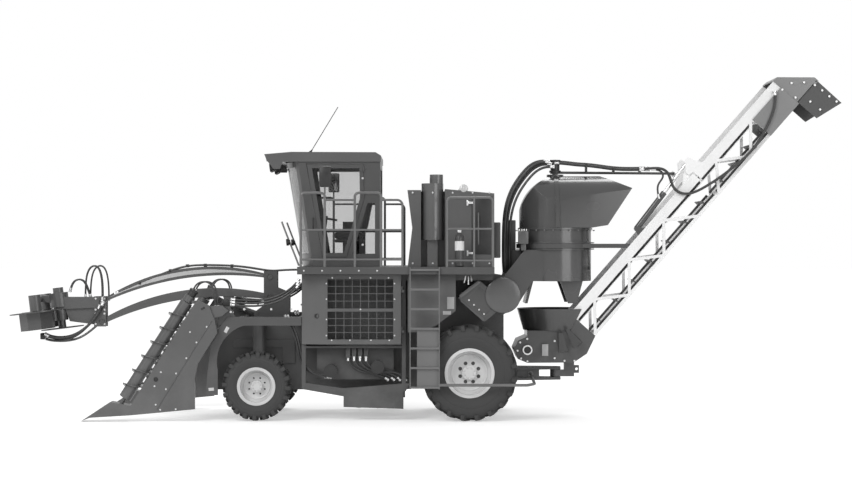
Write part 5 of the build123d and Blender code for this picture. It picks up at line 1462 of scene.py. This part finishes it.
@dataclass
class CleaningTower:
    """Fittings of the drum, the hood, the chopper and the elevator's foot."""

    drum_r: float = 0.603
    drum_x: float = 1.995
    ring_z: float = 2.84
    ring_bolts_count: int = 28
    arm_top: float = 3.735
    valve_z: float = 2.83
    foot_face: float = 0.59
    shaft: Flat = (1.539, 1.023)
    pockets: tuple[tuple[Flat, ...], ...] = (
        ((2.010, 1.290), (2.075, 1.278), (2.155, 1.0), (2.018, 1.0)),
        ((2.115, 1.345), (2.185, 1.322), (2.350, 1.150), (2.235, 1.045)),
    )
    chopper_face: float = 1.15
    hood_line: tuple[Flat, ...] = (
        (1.22, 2.12), (1.20, 2.30), (1.20, 2.60), (1.205, 2.946), (1.235, 3.193), (1.30, 3.40),
        (1.40, 3.58), (1.54, 3.76), (1.66, 3.86), (1.78, 3.895), (1.88, 3.885),
    )
    hood_shifts: tuple[Flat, ...] = ((-0.31, 0.0), (-0.26, 0.035), (-0.22, -0.02), (-0.17, 0.02), (-0.29, 0.075))
    arm_line: tuple[Flat, ...] = (
        (1.995, 3.88), (2.12, 3.88), (2.30, 3.85), (2.473, 3.845), (2.719, 3.815), (2.895, 3.785), (3.159, 3.775),
        (3.44, 3.785),
    )
    arm_shifts: tuple[Point, ...] = ((0, -0.06, 0.0), (0, -0.02, 0.025), (0, 0.03, 0.0))
    arm_clips: tuple[Flat, ...] = ((2.473, 3.88), (2.895, 3.82), (3.3, 3.81))

    def build(self) -> None:
        """Dresses the drum, the hood, the chopper and the foot."""
        self.ring_bolts()
        self.hood_hoses()
        self.valve_box()
        column = [
            Bench.block((1.245, -0.12, 2.12), (1.382, 0.12, 3.0), 0.012),
            Bench.block((1.30, -0.2, 2.12), (1.52, 0.2, 2.54), 0.012),
        ]
        Bench.mount(Bench.join(column), "drum_column", "chassis", FRAME)
        for side in Side:
            self.chopper_cover(side)
            self.foot(side)

    def foot(self, side: Side) -> None:
        """One side of the elevator's foot: shaft ring, dark plates of painted shade in its pockets, blank plate and
        bolts.

        Args:
            side: Which side of the machine.
        """
        trim = FlatTrim("elevator", side)
        x, z = self.shaft
        trim.ring("foot_shaft_ring", self.foot_face, self.shaft, (0.054, 0.075), PALE, 0.012)
        trim.dish("foot_shaft_cap", self.foot_face, self.shaft, 0.055, BLACK, 0.008)
        # Painted shade: dark plates laid into the pockets stand in for the shade inside them.
        for number, corners in enumerate(self.pockets):
            trim.plate(f"foot_pocket_{number}", self.foot_face - 0.002, corners, 0.004, IRON)
        trim.plate("foot_plate", self.foot_face, oblong((1.806, 1.023), 0.095, 0.177), 0.003, PLATE)
        spots = [(x + 0.15 * math.cos(turn), z + 0.17 * math.sin(turn)) for turn in (1.6, 2.4, 3.2, 4.0, 4.7)]
        spots += [(1.95, 1.16), (1.95, 0.90), (2.1, 0.86), (2.25, 0.86)]
        trim.bolts("foot_bolts", self.foot_face, spots, 0.011)

    def chopper_cover(self, side: Side) -> None:
        """The domed drive cover of the chopper, its dark panel, edge bars and bolts.

        Args:
            side: Which side of the machine.
        """
        face = self.chopper_face
        profile = [(0, 0.266), (0.02, 0.266), (0.032, 0.259), (0.038, 0.244), (0.046, 0.16), (0.05, 0.08)]
        dome = Bench.solid(profile, side.at(1.144, face - 0.01, 1.864), side.outward, 64, 0.051)
        Bench.mount(dome, f"chopper_dome_{side.tag}", "chassis", BODY)
        trim = FlatTrim("chassis", side)
        corners = ((0.60, 1.828), (0.80, 1.99), (1.05, 1.76), (0.87, 1.56))
        trim.plate("chopper_panel", face, corners, 0.005, FRAME)
        trim.strip("chopper_bar_high", face, (0.505, 1.843), (0.79, 2.070), 0.05, 0.022, BODY)
        # The lower bar takes the shaded copy of the body enamel: painted shade.
        trim.strip("chopper_bar_low", face, (0.515, 1.80), (0.862, 1.489), 0.035, 0.012, BODY_SHADE)
        spots = ((0.640, 1.795), (0.713, 1.724), (0.790, 1.652), (0.862, 1.588))
        trim.bolts("chopper_bolts", face + 0.005, spots, 0.009)

    def ring_bolts(self) -> None:
        """Bolts round the drum's top ring."""
        heads = []
        for number in range(self.ring_bolts_count):
            angle = 2 * math.pi * (number + 0.5) / self.ring_bolts_count
            face = Vector((math.cos(angle), math.sin(angle), 0))
            heads.append(Bench.bolts([Vector((self.drum_x, 0, self.ring_z)) + face * self.drum_r], face, 0.008))
        Bench.mount(Bench.join(heads), "drum_bolts", "chassis", RAIL)

    def hood_hoses(self) -> None:
        """The bundle up the hood's back and, past a swivel, along the arm to the elevator."""
        routes = lanes(self.hood_line, [(off, y, -off) for y, off in self.hood_shifts])
        HoseSet("hood_hoses", "chassis", 0.02, routes).build()
        HoseSet("arm_hoses", "elevator", 0.02, lanes(self.arm_line, self.arm_shifts)).build()
        profile = [(0, 0.09), (0.03, 0.09), (0.036, 0.07), (0.165, 0.07), (0.17, 0.085), (0.195, 0.085)]
        swivel = Bench.solid(profile, (self.drum_x, 0, self.arm_top), (0, 0, 1), 32, 0.2)
        Bench.mount(swivel, "arm_swivel", "elevator", BLACK)
        clips = [
            Bench.block((x - 0.015, -0.09, self.arm_top), (x + 0.015, 0.06, z), 0.006) for x, z in self.arm_clips
        ]
        Bench.mount(Bench.join(clips), "arm_hose_clips", "elevator", BLACK)

    def valve_box(self) -> None:
        """The valve box beside the drum with its pale fittings, under the hood's sweep."""
        top = self.valve_z
        box = Bench.block((1.40, -0.58, top - 0.2), (1.555, -0.46, top), 0.012)
        foot = Bench.block((1.44, -0.55, top - 0.3), (1.52, -0.48, top - 0.19), 0.01)
        Bench.mount(Bench.join([box, foot]), "valve_box", "chassis", BODY)
        row = [1.42 + 0.035 * n for n in range(4)]
        taps = [Bench.bar((x, -0.52, top - 0.005), (x, -0.52, top + 0.03), 0.012, 10) for x in row]
        Bench.mount(Bench.join(taps), "valve_taps", "chassis", ZINC)


@dataclass
class Elevator:
    """Fittings of the elevator: its long hoses, a loop at the fold and the bolts of its head and flap."""

    hose_y: Flat = (-0.478, -0.515)
    hose_line: tuple[Flat, ...] = (
        (3.257, 3.764), (3.45, 3.79), (3.60, 3.79), (3.70, 3.70), (3.73, 3.55), (3.80, 3.43), (3.95, 3.38),
        (4.10, 3.42), (4.245, 3.50), (4.41, 3.60), (4.60, 3.74), (4.842, 3.93), (5.02, 4.12), (5.16, 4.36),
        (5.27, 4.60), (5.32, 4.80), (5.30, 4.95),
    )
    loop: tuple[Flat, ...] = (
        (3.44, 3.77), (3.56, 3.76), (3.618, 3.703), (3.60, 3.62), (3.53, 3.55), (3.515, 3.456), (3.546, 3.332),
    )
    loop_y: float = -0.475
    head_bolts: tuple[Flat, ...] = ((5.42, 4.98), (5.56, 5.08), (5.75, 5.09), (5.62, 4.86))
    flap_bolts: tuple[Flat, ...] = (
        (5.92, 5.05), (6.03, 4.97), (6.14, 4.88), (6.25, 4.80), (5.85, 4.80), (6.0, 4.68),
    )

    def build(self) -> None:
        """Dresses both elevator sections and the flap."""
        routes = lanes(self.hose_line, [(0, y, 0) for y in self.hose_y])
        joint = ("elevator_top", (3.95, 0, 3.4), (4.45, 0, 3.65))
        HoseSet("elevator_hoses", "elevator", 0.02, routes, across=joint).build()
        HoseSet("elevator_loop", "elevator", 0.015, lanes(self.loop, [(0, self.loop_y, 0)])).build()
        for side in Side:
            FlatTrim("elevator_top", side).bolts("head_bolts", 0.49, self.head_bolts, 0.012)
            FlatTrim("flap", side).bolts("flap_bolts", 0.465, self.flap_bolts, 0.012)


@dataclass
class LowerBay:
    """Pumps, valves and hoses that show under the side doors and in the front arch."""

    panel_out: float = 0.92
    motors: tuple[Flat, ...] = ((-0.72, 0.80), (-1.42, 0.74))
    valves: int = 4
    valve_x: float = -1.20
    valve_pitch: float = 0.09
    arch_face: float = 1.18
    edge_face: float = 1.42
    arch_line: tuple[Flat, ...] = (
        (-2.10, 1.56), (-2.02, 1.42), (-1.93, 1.20), (-1.90, 0.95), (-1.82, 0.75), (-1.66, 0.66), (-1.46, 0.64),
    )
    deck_line: tuple[Flat, ...] = (
        (-2.91, 1.72), (-2.687, 1.70), (-2.435, 1.70), (-2.167, 1.78), (-1.989, 1.90), (-1.90, 2.02),
    )

    def build(self) -> None:
        """Dresses both sides of the lower bay and the arches."""
        for side in Side:
            self.machinery(side)
            self.hoses(side)
            trim = FlatTrim("chassis", side)
            trim.strip("arch_reflector", self.arch_face, (-2.985, 1.315), (-2.94, 1.395), 0.05, 0.006, LAMP)
            trim.strip("leg_reflector", self.arch_face, (-3.23, 0.468), (-3.15, 0.474), 0.045, 0.006, LAMP)
            spots = ((-2.90, 1.62), (-2.70, 1.66), (-2.30, 1.66), (-2.0, 1.66))
            trim.bolts("arch_bolts", self.arch_face, spots, 0.012)
            trim.bolts("toe_bolts", self.edge_face, [(-1.8 + 0.27 * n, 2.235) for n in range(5)], 0.009)

    def machinery(self, side: Side) -> None:
        """Two motors and a valve bank on one side's panel, and the motor on the arch.

        Args:
            side: Which side of the machine.
        """
        out = self.panel_out
        profile = [(0, 0.09), (0.05, 0.09), (0.06, 0.075), (0.2, 0.075), (0.21, 0.1), (0.25, 0.1)]
        pumps = [Bench.solid(profile, side.at(x, out, z), side.outward, 28) for x, z in self.motors]
        Bench.mount(Bench.join(pumps), f"bay_motors_{side.tag}", "chassis", BLACK)
        panel = Bench.block(side.at(-1.64, out - 0.025, 0.60), side.at(-0.48, out + 0.002, 1.118), 0.006)
        Bench.mount(panel, f"bay_panel_{side.tag}", "chassis", FRAME)
        profile = [(0, 0.085), (0.02, 0.1), (0.12, 0.1), (0.13, 0.08), (0.165, 0.075), (0.17, 0.06)]
        motor = Bench.solid(profile, side.at(-2.985, 0.84, 1.705), side.outward, 32)
        Bench.mount(motor, f"arch_motor_{side.tag}", "chassis", BLACK)
        row = [self.valve_x + self.valve_pitch * n for n in range(self.valves)]
        bank = [Bench.block(side.at(x, out, 0.93), side.at(x + 0.07, 1.04, 1.08), 0.01) for x in row]
        Bench.mount(Bench.join(bank), f"bay_valves_{side.tag}", "chassis", FRAME)

    def hoses(self, side: Side) -> None:
        """One side's hoses below the valves, down the arch and along the deck's front.

        Args:
            side: Which side of the machine.
        """
        routes = []
        for n in range(self.valves):
            x = self.valve_x + 0.035 + self.valve_pitch * n
            drop = ((x, 0.94), (x, 0.86), (x + 0.10, 0.76), (x + 0.28, 0.70), (x + 0.48, 0.68 + 0.02 * n))
            routes += lanes((*drop, (x + 0.6, 0.6)), [(0, side.value * (1.0 + 0.02 * n), 0)])
        HoseSet(f"bay_hoses_{side.tag}", "chassis", 0.016, tuple(routes)).build()
        routes = lanes(self.arch_line, [(step, side.value * (1.02 + step), 0) for step in (0.0, 0.04)])
        HoseSet(f"arch_hoses_{side.tag}", "chassis", 0.015, routes).build()
        routes = lanes(self.deck_line, [(0, side.value * (1.05 - step), step) for step in (0.0, 0.04, 0.08)])
        HoseSet(f"deck_hoses_{side.tag}", "chassis", 0.016, routes).build()


REAR_WHEELS = LuggedTyre(
    "rear", hub_x=0.645, hub_y=1.095, radius=0.715, width=0.47, bead=0.345, lugs=20, sweep=0.12,
    hub_face=0.06, bolt_circle=0.078, disc_face=0.004, disc_ring=0.265,
)
FRONT_WHEELS = LuggedTyre(
    "front", hub_x=-2.52, hub_y=1.06, radius=0.515, width=0.38, bead=0.26, lugs=20, sweep=0.03,
    hub_face=0.09, bolt_circle=0.062, disc_face=0.016, disc_ring=0.19, lug_half=0.034,
)


@dataclass
class Studio:
    """Floor, light and camera."""

    distance: float = 30.0
    eye: float = 2.57
    lens: float = 81.97

    def build(self) -> None:
        """Makes the floor, the lamps, the sky and the camera."""
        self.floor()
        self.lamps()
        self.sky()
        bpy.ops.object.camera_add(location=(0, -self.distance, self.eye), rotation=(math.radians(90), 0, 0))
        camera = bpy.context.object
        camera.data.lens = self.lens
        camera.data.sensor_width = 36
        camera.data.clip_end = 500
        bpy.context.scene.camera = camera
        bpy.context.scene.view_settings.view_transform = "Standard"

    def floor(self) -> None:
        """A pale floor that fades to white before the eye and keeps the shadow."""
        Bench.clear()
        bpy.ops.mesh.primitive_plane_add(size=400, location=(0, 0, -0.002))
        floor = bpy.context.object
        floor.name = "studio_floor"
        nodes = NodeBench("studio_floor")
        seen = self.seen(nodes)
        speckle = nodes.mix(nodes.span(nodes.noise(0.4, 2), 0.3, 0.7), grey(0.9), grey(0.915))
        reach = nodes.add("ShaderNodeVectorMath", operation="LENGTH")
        nodes.tree.links.new(nodes.place, reach.inputs[0])
        far = nodes.span(reach.outputs["Value"], 8.0, 15.0)
        nodes.feed(nodes.shader, Base_Color=nodes.mix(far, speckle, grey(0.0)), Roughness=0.9)
        glow = nodes.maths(seen, nodes.span(far, 0, 1, 0.42, 1.0))
        nodes.feed(nodes.shader, Emission_Color=grey(1.0), Emission_Strength=glow)
        floor.data.materials.append(nodes.material)

    @staticmethod
    def seen(nodes: NodeBench) -> Socket:
        """1 for rays that reach the eye straight, by a mirror or through glass.

        Args:
            nodes: The material's node tree.

        Returns:
            1 for such a ray, else 0.
        """
        path = nodes.add("ShaderNodeLightPath")
        both = nodes.maths(path.outputs["Is Camera Ray"], path.outputs["Is Glossy Ray"], "ADD")
        every = nodes.add("ShaderNodeMath", operation="ADD", use_clamp=True)
        nodes.tree.links.new(both, every.inputs[0])
        nodes.tree.links.new(path.outputs["Is Transmission Ray"], every.inputs[1])
        return every.outputs[0]

    def lamps(self) -> None:
        """A broad key from the front left, a fill from the right and a top light."""
        rows = (((-14, -20, 17), 3600, 12), ((16, -22, 8), 1500, 14), ((3, 14, 20), 1800, 12))
        for number, (spot, power, size) in enumerate(rows):
            bpy.ops.object.light_add(type="AREA", location=spot)
            lamp = bpy.context.object
            lamp.name = f"studio_lamp_{number}"
            lamp.data.energy = power
            lamp.data.size = size
            lamp.rotation_euler = (Vector((0, 0, 1.8)) - Vector(spot)).to_track_quat("-Z", "Y").to_euler()

    def sky(self) -> None:
        """A soft even sky, white where the eye sees it."""
        world = bpy.data.worlds.new("studio_sky")
        bpy.context.scene.world = world
        world.use_nodes = True
        tree = world.node_tree
        tree.nodes.clear()
        path = tree.nodes.new("ShaderNodeLightPath")
        total = tree.nodes.new("ShaderNodeMath")
        total.operation = "ADD"
        tree.links.new(path.outputs["Is Camera Ray"], total.inputs[0])
        tree.links.new(path.outputs["Is Transmission Ray"], total.inputs[1])
        strength = tree.nodes.new("ShaderNodeMapRange")
        strength.inputs[3].default_value = 0.55
        strength.inputs[4].default_value = 1.0
        tree.links.new(total.outputs[0], strength.inputs[0])
        background = tree.nodes.new("ShaderNodeBackground")
        tree.links.new(strength.outputs[0], background.inputs["Strength"])
        background.inputs["Color"].default_value = (1, 1, 1, 1)
        output = tree.nodes.new("ShaderNodeOutputWorld")
        tree.links.new(background.outputs[0], output.inputs["Surface"])


def dress_nodes() -> None:
    """Gives every CAD node its finish and a smooth shade across its facets."""
    slots = {row["node"]: row["material_slot"] for row in frame["record"]["subparts"]}
    for name, node in frame["nodes"].items():
        finish = NODE_FINISH.get(name) or SLOT_FINISH[slots[name]]
        node.data.materials.clear()
        node.data.materials.append(finish.material())
        node.data.shade_smooth()
        node.modifiers.new("Weld", "WELD").merge_threshold = 0.00002
        node.modifiers.new("Edges", "EDGE_SPLIT").split_angle = math.radians(28)


def main() -> None:
    """Builds the studio and the sub-assemblies in order."""
    logging.basicConfig(level=logging.INFO, format="%(name)s: %(message)s")
    Studio().build()
    dress_nodes()
    fittings = (CropDividers(), ToppingBoom(), BayDoors(), Cab(), EngineBay(), CleaningTower(), Elevator(), LowerBay())
    for assembly in (REAR_WHEELS, FRONT_WHEELS, *fittings):
        assembly.build()
    bpy.context.view_layer.update()


if __name__ == "__main__":
    main()
